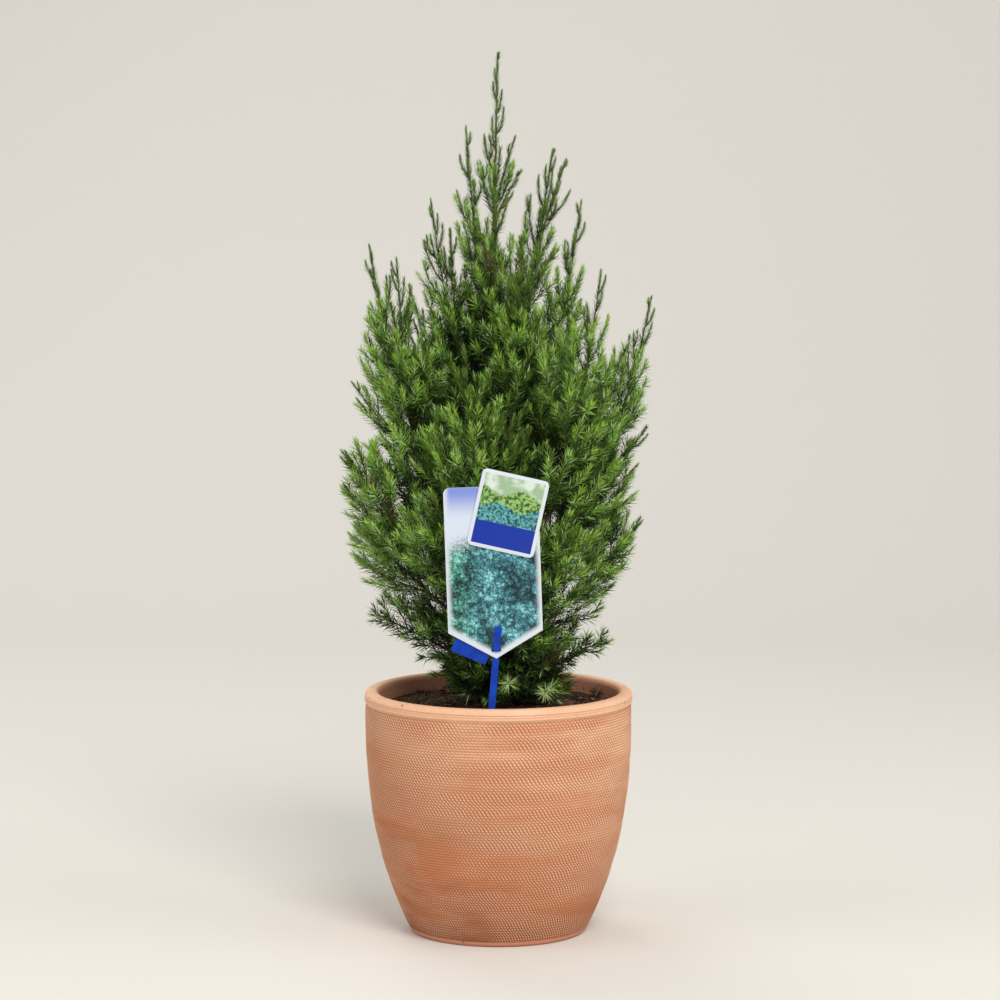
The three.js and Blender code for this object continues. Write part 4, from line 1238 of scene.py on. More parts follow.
def needles_on(lines, first, radius, full, rng, tip_share=TIP_SHARE, crowd=1.0, wider=1.0, lean_more=0.0,
               loose=WHORL_LOOSE):
    """Needles along bent lines from a share of their length to the end, in alternating whorls of three.
    Over the last tip_share of a line they close up; crowd sets the whorls closer.

    With the line's heading t and a direction s square to it, a needle leaves along cos(lean) t + sin(lean)
    s. Returns their four points each, and for each needle its line's number and its share along it."""
    step = between(WHORL_STEP, full) / crowd
    counts = np.maximum((lines.length() * (1 - first) / step).astype(int), LEAST_WHORLS)
    which = np.repeat(np.arange(len(counts)), IN_WHORL * counts)
    place = np.arange(len(which)) - np.repeat(IN_WHORL * (np.cumsum(counts) - counts), IN_WHORL * counts)
    whorl, arm = place // IN_WHORL, place % IN_WHORL
    begin = first[which]
    share = begin + (1 - begin) * (whorl + rng.uniform(*WHORL_PLAY, len(which))) / counts[which]
    line = lines.pick(which)
    way, across = line.heading(share), line.normal()
    over = np.cross(way, across)
    turn = TURN * arm / IN_WHORL + math.pi / IN_WHORL * whorl + WHORL_TURN * which
    turn = turn + rng.normal(0, loose, len(which))
    side = np.cos(turn)[:, None] * across + np.sin(turn)[:, None] * over
    closing = np.clip((share - 1 + tip_share) / max(tip_share, 1e-6), 0, 1)
    own = full[which]
    lean = between((between(NEEDLE_LEAN, own), between(NEEDLE_TIP_LEAN, own)), closing) + lean_more
    lean = (lean * rng.uniform(*LEAN_PLAY, len(which)))[:, None]
    out = np.cos(lean) * way + np.sin(lean) * side
    edge = unit(np.cross(way, side))
    above = np.cross(out, edge)
    length = between(NEEDLE_LENGTH, own) * (1 - TIP_SHORTER * closing)
    length = (length * rng.uniform(*NEEDLE_PLAY, len(which)))[:, None]
    width = wider * NEEDLE_WIDTH / 2 * np.clip(length / NEEDLE_LENGTH[1], LEAST_WIDTH, 1)
    root = line.point(share) + NEEDLE_ROOT * radius * side
    widest = root + NEEDLE_WIDEST * length * out + wider * NEEDLE_KEEL * above
    point = root + length * unit(out + NEEDLE_CURL * above)
    return np.stack([root, widest + width * edge, widest - width * edge, point], axis=1), which, share


longest = NEEDLE_LENGTH[1] * NEEDLE_PLAY[1]
print("needles of", len(NEEDLE_FACES), "faces, up to", round(longest, 1), "mm long")

# %% [markdown]
# Full twigs are bare near their foot, and slender ones carry needles nearly from the start, as the ends of
# the stems do. The stars have more needles, which stand off more and are thinner. A few dry sprigs lie on
# the soil.

# %% Needles on stems, twigs and shoots
STEM_PARTS = 8
FROM_FOOT = (0, 0)  # share where needles begin, on slender and on full growth
TWIG_FIRST = (0.02, 0.14)
SHOOT_FIRST = (0.02, 0.05)
STEM_RADIUS = 0.9
STEM_END_RADIUS = 0.7
TWIG_RADIUS = 0.6
SHOOT_RADIUS = 0.4
DRY_RADIUS = 0.5
STAR_NEEDLES = {"tip_share": 0.5, "crowd": 2.6, "wider": 0.5, "lean_more": 0.35, "loose": 2.0}
# dry sprigs on the soil: x, y, direction in degrees, length
FALLEN = [
    (-86, 22, -20, 26), (-78, -8, 12, 30), (-70, 30, -50, 24), (-62, -24, 25, 26), (-52, 8, 200, 22),
    (62, -20, 160, 20), (30, 70, 20, 26), (-20, 78, 190, 24), (78, 26, 80, 22),
]
FALLEN_FULL = 0.9
FALLEN_RISE = [0, 0, 2.5]
FALLEN_ARCH = [0, 0, 1.5]
ABOVE_GROUND = 1.5


def stem_parts():
    """The needled part of each stem, cut into short stretches, so that each can be as full as its own
    place."""
    cuts = [stem_bare + (1 - stem_bare) * k / STEM_PARTS for k in range(STEM_PARTS + 1)]
    return [plumes.part(low_cut, high_cut) for low_cut, high_cut in zip(cuts[:-1], cuts[1:])]


def leaf_all(lines, firsts, radius, tip_share=TIP_SHARE):
    """Needles on bent lines, shorter and closer to the line where the growth is slender."""
    full = fullness(lines)
    return (lines, *needles_on(lines, between(firsts, full), radius, full, needle_rng, tip_share))


def fallen_sprigs():
    """Short dry sprigs that lie on the soil, from their places, turns and lengths."""
    x, y, turned_by, long = np.array(FALLEN, dtype=float).T
    start = np.stack([x, y, soil_height(x, y) + ABOVE_GROUND], axis=-1)
    end = start + long[:, None] * level_way(np.radians(turned_by)) + FALLEN_RISE
    return Shoots(start, (start + end) / 2 + FALLEN_ARCH, end, np.zeros(len(x), int))


needle_rng = np.random.default_rng(7)
*stem_stretches, stem_ends = stem_parts()
sets = [
    leaf_all(together(*stem_stretches), FROM_FOOT, STEM_RADIUS, tip_share=0),
    leaf_all(stem_ends, FROM_FOOT, STEM_END_RADIUS),
    leaf_all(twigs, TWIG_FIRST, TWIG_RADIUS),
    leaf_all(shoots, SHOOT_FIRST, SHOOT_RADIUS),
]
star_needles, _, _ = needles_on(stars, stars.even(0), DRY_RADIUS, stars.even(1), needle_rng, **STAR_NEEDLES)
sprigs = fallen_sprigs()
sprig_needles, _, _ = needles_on(sprigs, sprigs.even(0), DRY_RADIUS, sprigs.even(FALLEN_FULL), needle_rng)
print([len(points) for _, points, _, _ in sets], "needles on stems, their ends, twigs and shoots")

# %% [markdown]
# A tip of new growth is a bright yellowish green, the needles behind it are a fresher green, and those far
# inside the crown stay dark because little light reaches them. A finish with a pattern would blur such
# small things, so each needle gets one of a few plain colours instead. Which one depends on the light that
# reaches its spray, so the tones are partly the needles' own colour and partly painted shade inside the
# crown and painted light on its outer sprays: the room is cut into cells, the sprays in each are counted,
# and from the spray's end a few ways to the sky are walked. Every spray met on the way takes a share of
# the light. A spray's base is one or two tones darker, older growth with painted shade, and the end of a
# full one a tone brighter. Some lit needles show the pale band of their upper face, which also paints a
# sheen, and the slender tips of the plumes are a greyer olive.

# %% Tones of the needles
# greens given by the light that reaches a spray, partly painted shade and painted light
TONES = {
    "brown": (88, 66, 44), "deep_shaded": (26, 43, 17), "shade": (49, 76, 31), "mid": (78, 114, 38),
    "lit_fresh": (108, 150, 50), "tip": (150, 190, 72), "pale": (180, 204, 146), "star": (172, 196, 124),
    "olive": (86, 111, 38),
}
BROWN, DEEP_SHADED, SHADE, MID, LIT_FRESH, TIP, PALE_BAND_SHEEN, STAR, OLIVE = range(len(TONES))
NEEDLE_GLOSS = (0.5, 0.25)  # roughness and specular level
PALE_SHEEN_CHANCE = 0.13  # of a lit needle that shows the white band on its upper face, which also paints a sheen
CELL = 9.0
SKY_WAYS = unit(np.array([
    (0, 0, 1), (0.35, -0.75, 0.55), (-0.35, -0.75, 0.55), (0.75, 0, 0.65), (-0.75, 0, 0.65), (0, 0.75, 0.65),
    (0, -1, 0.1), (1, 0, 0.1), (-1, 0, 0.1), (0, 1, 0.1),
]))
WALK_CELLS = 14
WALK_START = 1.2
SAMPLE_SHARES = (0.3, 0.6, 0.9)
ABSORBED = 0.3  # by one spray sample on the way
TONE_SHARES = [0.21, 0.44, 0.72]  # of the sprays, from the least lit: the darkest tone, then shade, then mid, and the rest the brightest; the darker ones are painted shade and the brighter ones painted light
TONE_CHANCE = 0.07
SINGLE_CHANCE = 0.3  # of a needle being a tone darker or brighter than its neighbours
YOUNG_CHANCE = 0.07  # of a whole spray being a tone brighter
SLENDER_TONE = 0.15  # how much less the slender tips count as lit
SLENDER_NEW = 0.5  # fullness from which a spray's end has brighter new growth
SHADE_HEIGHT = 110  # above the soil, up to where the pot and the crown over them shade the low sprays
SHADE_LEAST = 0.5
OLD_SHADED_BASE = (0.2, 0.46)  # shares along a spray where its darkest and its darker part end: older growth with painted shade
NEW_GROWTH = 0.68  # and where its new growth starts
BROWN_SHARE = 0.006
SECTIONS = {"low": ("skirt", "lower"), "middle": ("middle",), "high": ("upper", "top", "leader")}
TIP_FROM_LABEL = 1.5
TIP_FROM_SOIL = 1
PIECE_LIMIT = 200000


def spray_counts():
    """How many samples of twigs and shoots lie in each cell, and the corner where the cells begin."""
    growth = together(twigs, shoots)
    samples = np.concatenate([growth.point(growth.even(s)) for s in SAMPLE_SHARES])
    corner = samples.min(axis=0) - 2 * CELL
    shape = np.ceil((samples.max(axis=0) + 2 * CELL - corner) / CELL).astype(int)
    counts = np.zeros(shape)
    np.add.at(counts, tuple(((samples - corner) / CELL).astype(int).T), 1)
    return counts, corner


cell_counts, cell_corner = spray_counts()


def light_at(points):
    """The light that reaches the points: the mean of e^(-k n) over the ways to the sky, with n samples
    met."""
    walk = CELL * (WALK_START + np.arange(WALK_CELLS))
    last = np.array(cell_counts.shape) - 1
    light = np.zeros(len(points))
    for way in SKY_WAYS:
        cells = ((points[:, None] + walk[None, :, None] * way - cell_corner) / CELL).astype(int)
        inside = ((cells >= 0) & (cells <= last)).all(axis=-1)
        met = np.where(inside, cell_counts[tuple(np.clip(cells, 0, last).transpose(2, 0, 1))], 0)
        light += np.exp(-ABSORBED * met.sum(axis=1)) / len(SKY_WAYS)
    return light


tone_edges = np.quantile(light_at(shoots.c), TONE_SHARES)
print("light at the edges of the tones:", tone_edges.round(2))


def tones_of(lines, which, share, rng):
    """A tone for each needle, from the light at its spray's end and its own place on the spray."""
    count = len(lines.a)
    full = fullness(lines)
    shaded = np.clip((lines.c[:, 2] - SOIL_LEVEL) / SHADE_HEIGHT, SHADE_LEAST, 1)
    light = light_at(lines.c) * shaded - SLENDER_TONE * (1 - full)
    # painted shade on sprays that little light reaches and painted light on the lit ones
    tone = DEEP_SHADED + np.digitize(light + rng.normal(0, TONE_CHANCE, count), tone_edges)
    tone += rng.random(count) < YOUNG_CHANCE
    tone = np.where(full < SLENDER_NEW, np.minimum(tone, MID), tone)
    dead = rng.random(count) < BROWN_SHARE
    grown = (share > NEW_GROWTH) & (full[which] > SLENDER_NEW)
    # a spray's base older and darker with painted shade, and the new growth at its end brighter
    tone = tone[which] + grown - (share < OLD_SHADED_BASE[0]) - (share < OLD_SHADED_BASE[1]).astype(int)
    single = rng.random(len(which))
    tone = np.minimum(tone + (single < SINGLE_CHANCE) - (single > 1 - SINGLE_CHANCE).astype(int), TIP)
    # pale needles: the white band of the upper face, which also paints a sheen
    band_with_sheen = (tone >= MID) & (rng.random(len(which)) < PALE_SHEEN_CHANCE * full[which])
    tone = np.where(band_with_sheen, PALE_BAND_SHEEN, tone)
    olive = (tone >= SHADE) & (tone <= MID) & (full[which] < SLENDER_NEW)
    tone = np.where(olive, OLIVE, np.maximum(tone, DEEP_SHADED))
    return np.where(dead[which], BROWN, tone)


tone_rng = np.random.default_rng(3)
section_of = {tier: number for number, tiers in enumerate(SECTIONS.values()) for tier in tiers}
plume_section = np.array([section_of[tier] for tier in plume_tier])
needle_points, needle_tone, needle_section = [], [], []
for lines, points, which, share in sets:
    tips = points[:, -1]
    kept = clear_of_label(tips, TIP_FROM_LABEL) & (tips[:, 2] > SOIL_LEVEL + TIP_FROM_SOIL)
    needle_points.append(points[kept])
    needle_tone.append(tones_of(lines, which, share, tone_rng)[kept])
    needle_section.append(plume_section[lines.plume[which]][kept])
for points, tone in ((star_needles, STAR), (sprig_needles, BROWN)):
    needle_points.append(points)
    needle_tone.append(np.full(len(points), tone))
    needle_section.append(np.zeros(len(points), int))
needle_points, needle_tone, needle_section = map(np.concatenate, (needle_points, needle_tone, needle_section))

for tone, (tone_name, screen) in enumerate(TONES.items()):
    green = Finish("needle_" + tone_name, from_screen(*screen), *NEEDLE_GLOSS)
    for number, (section, tiers) in enumerate(SECTIONS.items()):
        own = needle_points[(needle_tone == tone) & (needle_section == number)]
        if len(own):
            faces = repeated(NEEDLE_FACES, len(own), NEEDLE_POINTS)
            piece = mesh_piece(f"needles_{section}_{tone_name}", own.reshape(-1, 3), faces, smooth=False)
            assert triangle_count(piece) < PIECE_LIMIT
            nodes = [f"foliage_{name}" for name, tier in zip(main_names, plume_tier) if tier in tiers]
            dress(piece, green, nodes)
print({name: int((needle_tone == i).sum()) for i, name in enumerate(TONES)})
print(len(NEEDLE_FACES) * len(needle_points), "triangles in needles")

# %% [markdown]
# ## Wood
#
# The wood is a set of tapering tubes along the same bent lines. A tube's rings must not twist, so each
# takes its first direction from the line's own plane. The trunk's bark peels in thin upright strips: a
# noise that is stretched along the trunk and squeezed round it raises their edges. Old wood is brown, and
# the last part of a stem, slender twigs and the shoots are young and green.

# %% Tubes
STRIP_ROUND = 2.5  # bark strips on a bough: how fast their noise changes round it, and from bough to bough
STRIP_APART = 7.0
STRIP_RINGS = 5
STRIP_SIZE = 1.0
TRUNK_RINGS = 170
TRUNK_SIDES = 36
TRUNK_SUNK = 6
TRUNK_TAPER = 0.8
RELIEF_ROUND = 5  # the trunk's relief: noise that goes that far round it and is so many mm long for each 1
RELIEF_LENGTH = 9
PLATE_STRETCH = (1, 1, 0.6)
PLATES = (1.1, 41)  # size and seed of the noise, and what it raises as a share of the radius
PLATE_HEIGHT = 0.085
GRAIN = (0.5, 42)
GRAIN_HEIGHT = 0.04
BOUGH_RELIEF = 0.16
YOUNG_STEM = 0.5  # share of a plume's stem where brown bark gives way to green
YOUNG_TWIG = 0.25
WOODY_FROM = 0.8  # fullness from which a twig has brown wood at its foot
STEM_TIP_RADIUS = 0.4
BOUGH_GRID = (16, 10)  # rings and sides of each tube
TWIG_GRID = (4, 5)
STEM_GRID = (6, 5)
SHOOT_GRID = (4, 3)
OLD_TWIG = (0.8, 0.55)  # radii at the start and the end
YOUNG_WOOD = (0.5, 0.35)
SHOOT_WOOD = (0.5, 0.25)


def tubes(lines, rings, sides, start_radius, end_radius, relief=0.0):
    """Closed tubes along bent lines: rings of radius r(s) = start + (end - start) s, with strips of bark that
    raise them by a share of it. Returns points and a list of faces."""
    count = len(lines.a)
    which = np.repeat(np.arange(count), rings)
    s = np.tile(np.linspace(0, 1, rings), count)
    many = lines.pick(which)
    way, across = many.heading(s), many.normal()
    over = np.cross(way, across)
    angle = round_steps(sides)
    ring = np.cos(angle)[None, :, None] * across[:, None] + np.sin(angle)[None, :, None] * over[:, None]
    radius = between((start_radius[which], end_radius[which]), s)[:, None]
    if relief:
        along = np.stack([STRIP_APART * which, 0 * s, s * rings / STRIP_RINGS], axis=-1)
        strips = noise(STRIP_ROUND * level_way(angle)[None] + along[:, None], STRIP_SIZE, 31)
        radius = radius * (1 + relief * strips)
    points = many.point(s)[:, None] + (radius + 0 * angle)[..., None] * ring
    wall = repeated(grid_faces(rings, sides, closed=False), count, rings * sides)
    corners = np.arange(sides)[None]
    caps = [repeated(cap, count, rings * sides) for cap in (corners[:, ::-1], corners + (rings - 1) * sides)]
    return points.reshape(-1, 3), [wall, *caps]


def trunk_mesh():
    """The trunk: a tube of radius r (1 + b) round its middle line, with b the relief of the bark. Where a
    coarse noise n passes zero it has a ridge, a (1 - 2 |n|), and a finer noise is its grain."""
    height = np.linspace(TRUNK_FOOT - TRUNK_SUNK, TRUNK_TIP, TRUNK_RINGS)
    rise = np.clip((height - TRUNK_FOOT) / (TRUNK_TIP - TRUNK_FOOT), 0, 1)
    radius = TRUNK_RADIUS + (TRUNK_TIP_RADIUS - TRUNK_RADIUS) * rise**TRUNK_TAPER
    radius += FLARE * np.exp(-np.maximum(height - TRUNK_FOOT, 0) / FLARE_HEIGHT)
    way = level_way(round_steps(TRUNK_SIDES))[None]
    place = RELIEF_ROUND * way + np.stack([0 * rise, 0 * rise, height / RELIEF_LENGTH], axis=-1)[:, None]
    relief = PLATE_HEIGHT * (1 - 2 * np.abs(noise(place * PLATE_STRETCH, *PLATES)))
    relief = relief + GRAIN_HEIGHT * noise(place, *GRAIN)
    points = trunk_middle(height)[:, None] + (radius[:, None] * (1 + relief))[..., None] * way
    corners = np.arange(TRUNK_SIDES)[None]
    caps = [corners[:, ::-1], corners + (TRUNK_RINGS - 1) * TRUNK_SIDES]
    wall = grid_faces(TRUNK_RINGS, TRUNK_SIDES, closed=False)
    return mesh_piece("trunk_bark", points.reshape(-1, 3), [wall, *caps])


def split_at(lines, share):
    """The first and the last stretch of each line."""
    return lines.part(lines.even(0.0), lines.even(share)), lines.part(lines.even(share), lines.even(1.0))


trunk = trunk_mesh()
old_stems, young_stems = split_at(plumes, YOUNG_STEM)
is_woody = twig_full > WOODY_FROM
old_twigs, young_twigs = split_at(twigs.pick(is_woody), YOUNG_TWIG)
young_twigs = together(young_twigs, twigs.pick(~is_woody))
stem_middle = plume_radius * (1 - YOUNG_STEM) + STEM_TIP_RADIUS * YOUNG_STEM
thick = np.concatenate([bough_radius, plume_radius])
thin = np.concatenate([plume_radius[:LEADER], stem_middle])
limbs = mesh_piece("boughs", *tubes(together(bare_limbs, old_stems), *BOUGH_GRID, thick, thin, BOUGH_RELIEF))
twig_wood = mesh_piece("twigs", *tubes(old_twigs, *TWIG_GRID, *map(old_twigs.even, OLD_TWIG)))
young_wood = together(young_stems, young_twigs)
young_start = np.concatenate([stem_middle, young_twigs.even(YOUNG_WOOD[0])])
young_end = young_wood.even(YOUNG_WOOD[1])
stem_wood = mesh_piece("young_stems", *tubes(young_wood, *STEM_GRID, young_start, young_end))
young_shoots = together(shoots, stars, sprigs)
shoot_wood = mesh_piece("shoots", *tubes(young_shoots, *SHOOT_GRID, *map(young_shoots.even, SHOOT_WOOD)))
print("wood:", {p.name: triangle_count(p) for p in (trunk, limbs, twig_wood, stem_wood, shoot_wood)})

# %% [markdown]
# Old bark is a dull reddish brown with grey edges where it peels, twigs are a warmer brown, and this year's
# shoots are still green.

# %% Finishes of the wood
bark = mottled("bark", (112, 80, 60), (0.88, 0.25), (700, 4, (1, 1, 0.16)), (0.36, 0.64),
               [(74, 50, 38), (154, 122, 98)], (1500, 4, (1, 1, 0.2), 0.0004))
twig_bark = mottled("twig_bark", (88, 70, 46), (0.8, 0.25), (260, 3), (0.36, 0.64),
                    [(70, 52, 36), (98, 88, 52)])
green_bark = mottled("green_bark", (78, 100, 42), (0.6, 0.3), (180, 2), (0.36, 0.64),
                     [(60, 80, 34), (92, 114, 50)])
dress(trunk, bark, ["trunk"])
dress(limbs, bark, [f"bough_{name}" for name in bough_names])
for piece, finish in ((twig_wood, twig_bark), (stem_wood, green_bark), (shoot_wood, green_bark)):
    dress(piece, finish)
print("finishes:", bark.material.name, twig_bark.material.name, green_bark.material.name)

# %% [markdown]
# ## The plant label
#
# The label is printed plastic: a large card on a blue strip that is pushed into the soil, with a small card
# and a tab on it. Its print is a plain design: a pale sky over soft leaf-like flecks, and on the small card
# rounded hills over a plain blue band.

# %% Shapes of the label
CARD_THICKNESS = 0.9
CARD_BEVEL = 0.18
GAP = 0.3
CARD_SHOULDER = 253
CARD_POINT = 232
CARD_CORNER = 5
CARD_TURN = -0.035
SMALL_SIZE = (52.5, 60.5)
SMALL_CORNER = 4
SMALL_CENTRE = (7.5, 345)
SMALL_TURN = 0.22
STRIP_WIDTH = 5.4
STRIP_THICKNESS = 1.2
STRIP_BEVEL = 0.25
STRIP_TOP = 257
STRIP_DEPTH = 60
STRIP_TURN = 0.08
SLOT_LEVEL = 237.5
SLOT_HEIGHT = 3
TAB_SIZE = (29, 12)
TAB_CORNER = 1
TAB_CENTRE = (-21.2, 238)
TAB_TURN = 0.39


def corner_round(x, y, radius, start, steps=9):
    """A quarter of a circle about (x, y), from a start angle in degrees."""
    angle = np.radians(np.linspace(start, start + 90, steps))
    return np.stack([x + radius * np.cos(angle), y + radius * np.sin(angle)], axis=-1)


def rounded_rectangle(width, height, radius):
    """Outline of a rectangle about the origin with round corners."""
    x, y = width / 2 - radius, height / 2 - radius
    corners = ((x, y), (-x, y), (-x, -y), (x, -y))
    return np.concatenate([corner_round(*corner, radius, 90 * i) for i, corner in enumerate(corners)])


def upright(x, y, z, turn):
    """Matrix that stands a plate up to face the front, turned in its plane, with its middle at x, y, z."""
    facing = Matrix.Rotation(turn, 4, "Y") @ Matrix.Rotation(math.pi / 2, 4, "X")
    return Matrix.Translation((x, y, z)) @ facing


def card_outlines():
    """The large card, from the point at its foot, and the slot that the strip goes through."""
    x, y = LABEL_HALF - CARD_CORNER, LABEL_TOP - CARD_CORNER - CARD_POINT
    shoulder = CARD_SHOULDER - CARD_POINT
    card = np.concatenate([[[0, 0], [LABEL_HALF, shoulder]], corner_round(x, y, CARD_CORNER, 0),
                           corner_round(-x, y, CARD_CORNER, 90), [[-LABEL_HALF, shoulder]]])
    half, low = STRIP_WIDTH / 2 + 1, SLOT_LEVEL - CARD_POINT
    high = low + SLOT_HEIGHT
    return [card, np.array([[-half, low], [half, low], [half, high], [-half, high]])]


def strip_side():
    """The strip from the side: up behind the card, through the slot and on in front of it."""
    behind, front = LABEL_Y + CARD_THICKNESS + GAP, LABEL_Y - GAP - STRIP_THICKNESS
    foot, near = SOIL_LEVEL - STRIP_DEPTH, (STRIP_THICKNESS + SLOT_HEIGHT) / 4
    return np.array([
        [behind, foot], [behind + STRIP_THICKNESS, foot], [behind + STRIP_THICKNESS, pivot + near],
        [front + STRIP_THICKNESS, pivot + near], [front + STRIP_THICKNESS, STRIP_TOP], [front, STRIP_TOP],
        [front, pivot - near], [behind, pivot - near]])


half = CARD_THICKNESS / 2
pivot = SLOT_LEVEL + SLOT_HEIGHT / 2
card_place = upright(LABEL_X, LABEL_Y + half, CARD_POINT, CARD_TURN)
small_place = upright(SMALL_CENTRE[0], LABEL_Y - GAP - half, SMALL_CENTRE[1], SMALL_TURN)
tab_place = upright(TAB_CENTRE[0], LABEL_Y + 3 * half + GAP, TAB_CENTRE[1], TAB_TURN)
lean = Matrix.Translation((LABEL_X, 0, pivot)) @ Matrix.Rotation(STRIP_TURN, 4, "Y")
on_edge = Matrix(((0, 0, 1, 0), (1, 0, 0, 0), (0, 1, 0, -pivot), (0, 0, 0, 1)))
card, small_card, tab, strip = [plate(*settings) for settings in (
    ("label_card_print", card_outlines(), CARD_THICKNESS, CARD_BEVEL, card_place),
    ("label_small_card_print", [rounded_rectangle(*SMALL_SIZE, SMALL_CORNER)], CARD_THICKNESS, CARD_BEVEL,
     small_place),
    ("label_tab_blue", [rounded_rectangle(*TAB_SIZE, TAB_CORNER)], CARD_THICKNESS, CARD_BEVEL, tab_place),
    ("label_strip_blue", [strip_side()], STRIP_WIDTH, STRIP_BEVEL, lean @ on_edge),
)]
print("label:", {p.name: triangle_count(p) for p in (card, small_card, tab, strip)})

# %% [markdown]
# The print is worked out in the card's own plane: the Mapping node undoes the card's place and turn, so its
# X runs across the card and its Z up it. Only the face towards the front is printed, which the surface's
# own normal tells.

# %% Finishes of the label
WHITE_PLASTIC = from_screen(206, 213, 221)
# masks and blends start and end at pairs of values: shares of a noise, or millimetres in the card's plane
FACING = (-0.9, -0.8)
LARGE_FRAME = (36.5, 1.0, 138.0, 5.5)  # half width, low, high and softness
POINT_FRAME = (2.5, 8.0)
SMALL_FRAME = (23.6, -27.6, 27.6, 0.25)
LEAF_DARK = (0.40, 0.53)
LEAF_BRIGHT = (0.50, 0.66)
LEAF_BLUER = (-12, 22)
LEAF_TOP = (102, 120)
LEAF_HILL = 0.35
SKY_FADE = (108, 132)
FLECKS, CLOUDS, ROSETTES = 0.62, 0.5, 0.16  # how much each counts in the light on the leaves
CLOUD_SHIFT = 50
RAGGED_TOP = 26
HILL_MOTTLE = (0.42, 0.58)
BLUE_BAND = (-9.6, -9.2)
NEAR_HILL = (2.5, 5.0)
FAR_HILL = (14.0, 16.5)
WAVE_HEIGHT = 3.2
WAVE_RATE = 0.19


class Print(Finish):
    """White plastic with x and z in the card's plane, in millimetres from its centre, and a mask of the face
    towards the front, which is the printed one."""

    def __init__(self, name, centre, turn):
        super().__init__(name, WHITE_PLASTIC, 0.4, 0.35)
        coordinates = self.node("ShaderNodeTexCoord", {}).outputs["Object"]
        middle = (centre[0] * MM, 0, centre[1] * MM)
        place = {"Vector": coordinates, "Location": middle, "Rotation": (0, turn, 0)}
        self.own = self.node("ShaderNodeMapping", place, vector_type="TEXTURE").outputs[0]
        axes = self.axes(self.own)
        self.x = self.math("DIVIDE", axes[0], MM)
        self.z = self.math("DIVIDE", axes[2], MM)
        facing = self.axes(self.node("ShaderNodeNewGeometry", {}).outputs["Normal"])[1]
        self.printed = self.span(facing, *FACING, 1.0, 0.0)

    def inside(self, half_width, low, high, soft):
        """A mask of the rectangle |x| < half_width, low < z < high with a soft edge."""
        across = self.span(self.math("ABSOLUTE", self.x), half_width - soft, half_width, 1.0, 0.0)
        bottom = self.span(self.z, low, low + soft)
        top = self.span(self.z, high - soft, high, 1.0, 0.0)
        return self.times(across, self.times(bottom, top))

    def show(self, mask, picture, grain):
        """The picture on the printed face where the mask lets it through, and a faint grain of the
        plastic."""
        self.feed("Base Color", self.mix(self.times(mask, self.printed), WHITE_PLASTIC, picture))
        self.bump(self.noise(grain, 2), 0.00004)


def leaf_picture(big):
    """Flecks of leaves in three shades, bluer to the right, and a pale sky that ends them in a ragged
    edge."""
    rosettes = big.node("ShaderNodeTexVoronoi", {"Vector": big.own, "Scale": 250.0}).outputs["Distance"]
    fine, cloud = big.noise(620, 5, rough=0.7), big.noise(60, 3)
    light = big.add(big.times(fine, FLECKS), big.times(cloud, CLOUDS))
    light = big.math("SUBTRACT", light, big.times(rosettes, ROSETTES))
    bluer = big.span(big.add(big.x, big.times(cloud, CLOUD_SHIFT)), *LEAF_BLUER)
    middle = big.mix(bluer, from_screen(66, 136, 112), from_screen(52, 112, 122))
    bright = big.mix(bluer, from_screen(152, 220, 192), from_screen(146, 214, 218))
    leaf = big.mix(big.span(light, *LEAF_DARK), from_screen(10, 36, 44), middle)
    leaf = big.mix(big.span(light, *LEAF_BRIGHT), leaf, bright)
    sky = big.mix(big.span(big.z, *SKY_FADE), from_screen(204, 212, 226), from_screen(120, 138, 206))
    hill = big.add(big.z, big.times(big.math("ABSOLUTE", big.x), LEAF_HILL))
    return big.mix(big.span(big.add(hill, big.times(fine, RAGGED_TOP)), *LEAF_TOP), leaf, sky)


def hill_picture(small):
    """A green hill far off and a bluer one near by, each mottled, under a pale sky and over a blue band."""
    wave = small.times(small.math("SINE", small.times(small.x, WAVE_RATE)), WAVE_HEIGHT)
    far_edge = small.math("SUBTRACT", small.z, wave)
    near_edge = small.add(small.z, small.times(wave, 0.8))
    mottle = small.span(small.noise(420, 5, rough=0.7), *HILL_MOTTLE)
    far_green = small.mix(mottle, from_screen(40, 80, 34), from_screen(150, 190, 104))
    near_green = small.mix(mottle, from_screen(16, 66, 76), from_screen(98, 172, 172))
    clouds = small.span(small.noise(90, 3), 0.4, 0.6)
    sky = small.mix(clouds, from_screen(150, 176, 140), from_screen(206, 216, 204))
    picture = small.mix(small.span(far_edge, *FAR_HILL), far_green, sky)
    picture = small.mix(small.span(near_edge, *NEAR_HILL), near_green, picture)
    return small.mix(small.span(small.z, *BLUE_BAND), from_screen(4, 44, 150), picture)


big = Print("label_print_large", (LABEL_X, CARD_POINT), CARD_TURN)
slope = (CARD_SHOULDER - CARD_POINT) / LABEL_HALF
above_point = big.math("SUBTRACT", big.z, big.times(big.math("ABSOLUTE", big.x), slope))
big_mask = big.times(big.inside(*LARGE_FRAME), big.span(above_point, *POINT_FRAME))
big.show(big_mask, leaf_picture(big), 160)
dress(card, big, ["label_card"])

small = Print("label_print_small", SMALL_CENTRE, SMALL_TURN)
small.show(small.inside(*SMALL_FRAME), hill_picture(small), 200)
dress(small_card, small, ["label_small_card"])

blue_plastic = mottled("blue_plastic", (4, 50, 154), (0.5, 0.2), (120, 2), (0.3, 0.7),
                       [(4, 46, 146), (6, 62, 172)], (500, 2, 0.00003))
dress(tab, blue_plastic, ["label_tab"])
dress(strip, blue_plastic, ["label_strip"])
print("shader nodes of the two prints:", len(big.nodes), len(small.nodes))

# %% [markdown]
# ## Floor and light
#
# The plant stands on a plain pale floor that bends up behind it, so there is no edge in the picture. The
# light is that of a bright, lightly clouded day: a large soft key from the upper right in front, weaker
# ones from both sides and one behind, which comes through the needles, and an even pale surround.

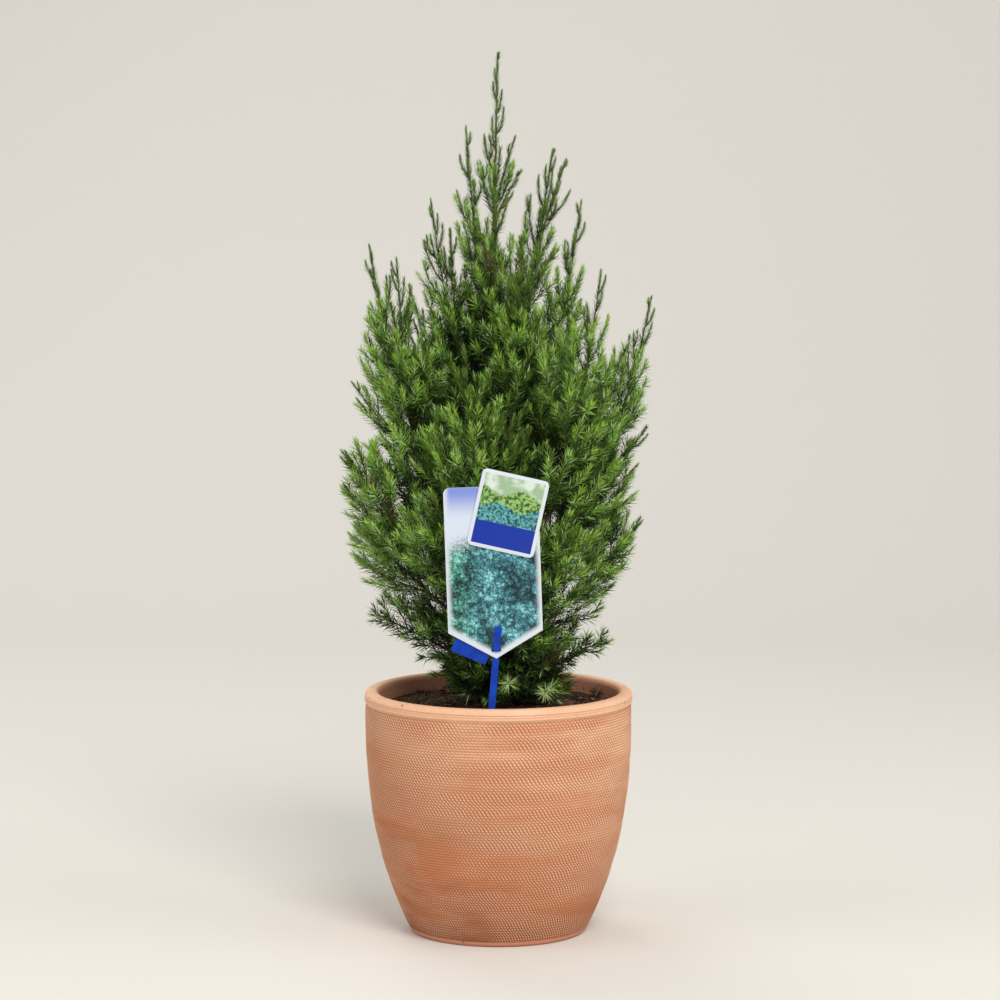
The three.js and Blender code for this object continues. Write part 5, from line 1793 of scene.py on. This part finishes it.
# %% Stage
FLOOR_HALF = 6.0
COVE_START = 1.6
COVE_RADIUS = 1.4
COVE_STEPS = 19
WALL_TOP = 5.0
FLOOR_COLOUR = (222, 218, 210)
# name: place, target and size in metres, watts and colour
LIGHTS = {
    "key": ((0.8, -2.6, 2.7), (0, 0, 0.38), 1.5, 88, (1.0, 0.97, 0.93)),
    "fill": ((2.4, -0.9, 1.8), (0, 0, 0.35), 2.0, 20, (0.96, 0.98, 1.0)),
    "left": ((-2.4, -0.8, 1.5), (0, 0, 0.3), 2.0, 18, (1.0, 0.99, 0.97)),
    "back": ((-0.9, 1.7, 2.3), (0, 0, 0.4), 1.4, 16, (1.0, 0.98, 0.95)),
}
SURROUND = (0.93, 0.96, 1.0, 1)
SURROUND_STRENGTH = 0.5


def cove():
    """The floor: a strip that runs back, bends up by a quarter of a circle and goes on as a wall."""
    angle = np.radians(np.linspace(0, 90, COVE_STEPS))
    y = np.concatenate([[-FLOOR_HALF], COVE_START + COVE_RADIUS * np.sin(angle), [COVE_START + COVE_RADIUS]])
    z = np.concatenate([[0], COVE_RADIUS * (1 - np.cos(angle)), [WALL_TOP]])
    points = np.concatenate([np.stack([x + 0 * y, y, z], axis=-1) for x in (FLOOR_HALF, -FLOOR_HALF)]) / MM
    first = np.arange(len(y) - 1)
    faces = np.stack([first, first + 1, first + len(y) + 1, first + len(y)], axis=-1)
    return mesh_piece("floor", points, faces)


def soft_light(name, place, target, size, watts, colour):
    """A square area light at a place, turned to face a target, both in metres."""
    data = bpy.data.lights.new(name, "AREA")
    data.size = size
    data.energy = watts
    data.color = colour
    lamp = linked(name, data)
    direction = np.array(target, float) - np.array(place, float)
    flat = math.hypot(direction[0], direction[1])
    heading = math.atan2(direction[1], direction[0]) - math.pi / 2
    lamp.location = place
    lamp.rotation_euler = (math.atan2(flat, -direction[2]), 0, heading)


floor = cove()
floor.data.materials.append(Finish("floor", from_screen(*FLOOR_COLOUR), 0.75).material)
for name, settings in LIGHTS.items():
    soft_light(name, *settings)
world = bpy.data.worlds.new("surround")
world.use_nodes = True
world.node_tree.nodes["Background"].inputs[0].default_value = SURROUND
world.node_tree.nodes["Background"].inputs[1].default_value = SURROUND_STRENGTH
bpy.context.scene.world = world
bpy.context.scene.view_settings.view_transform = "Standard"
print(len(LIGHTS), "lights and a floor of", triangle_count(floor), "triangles")
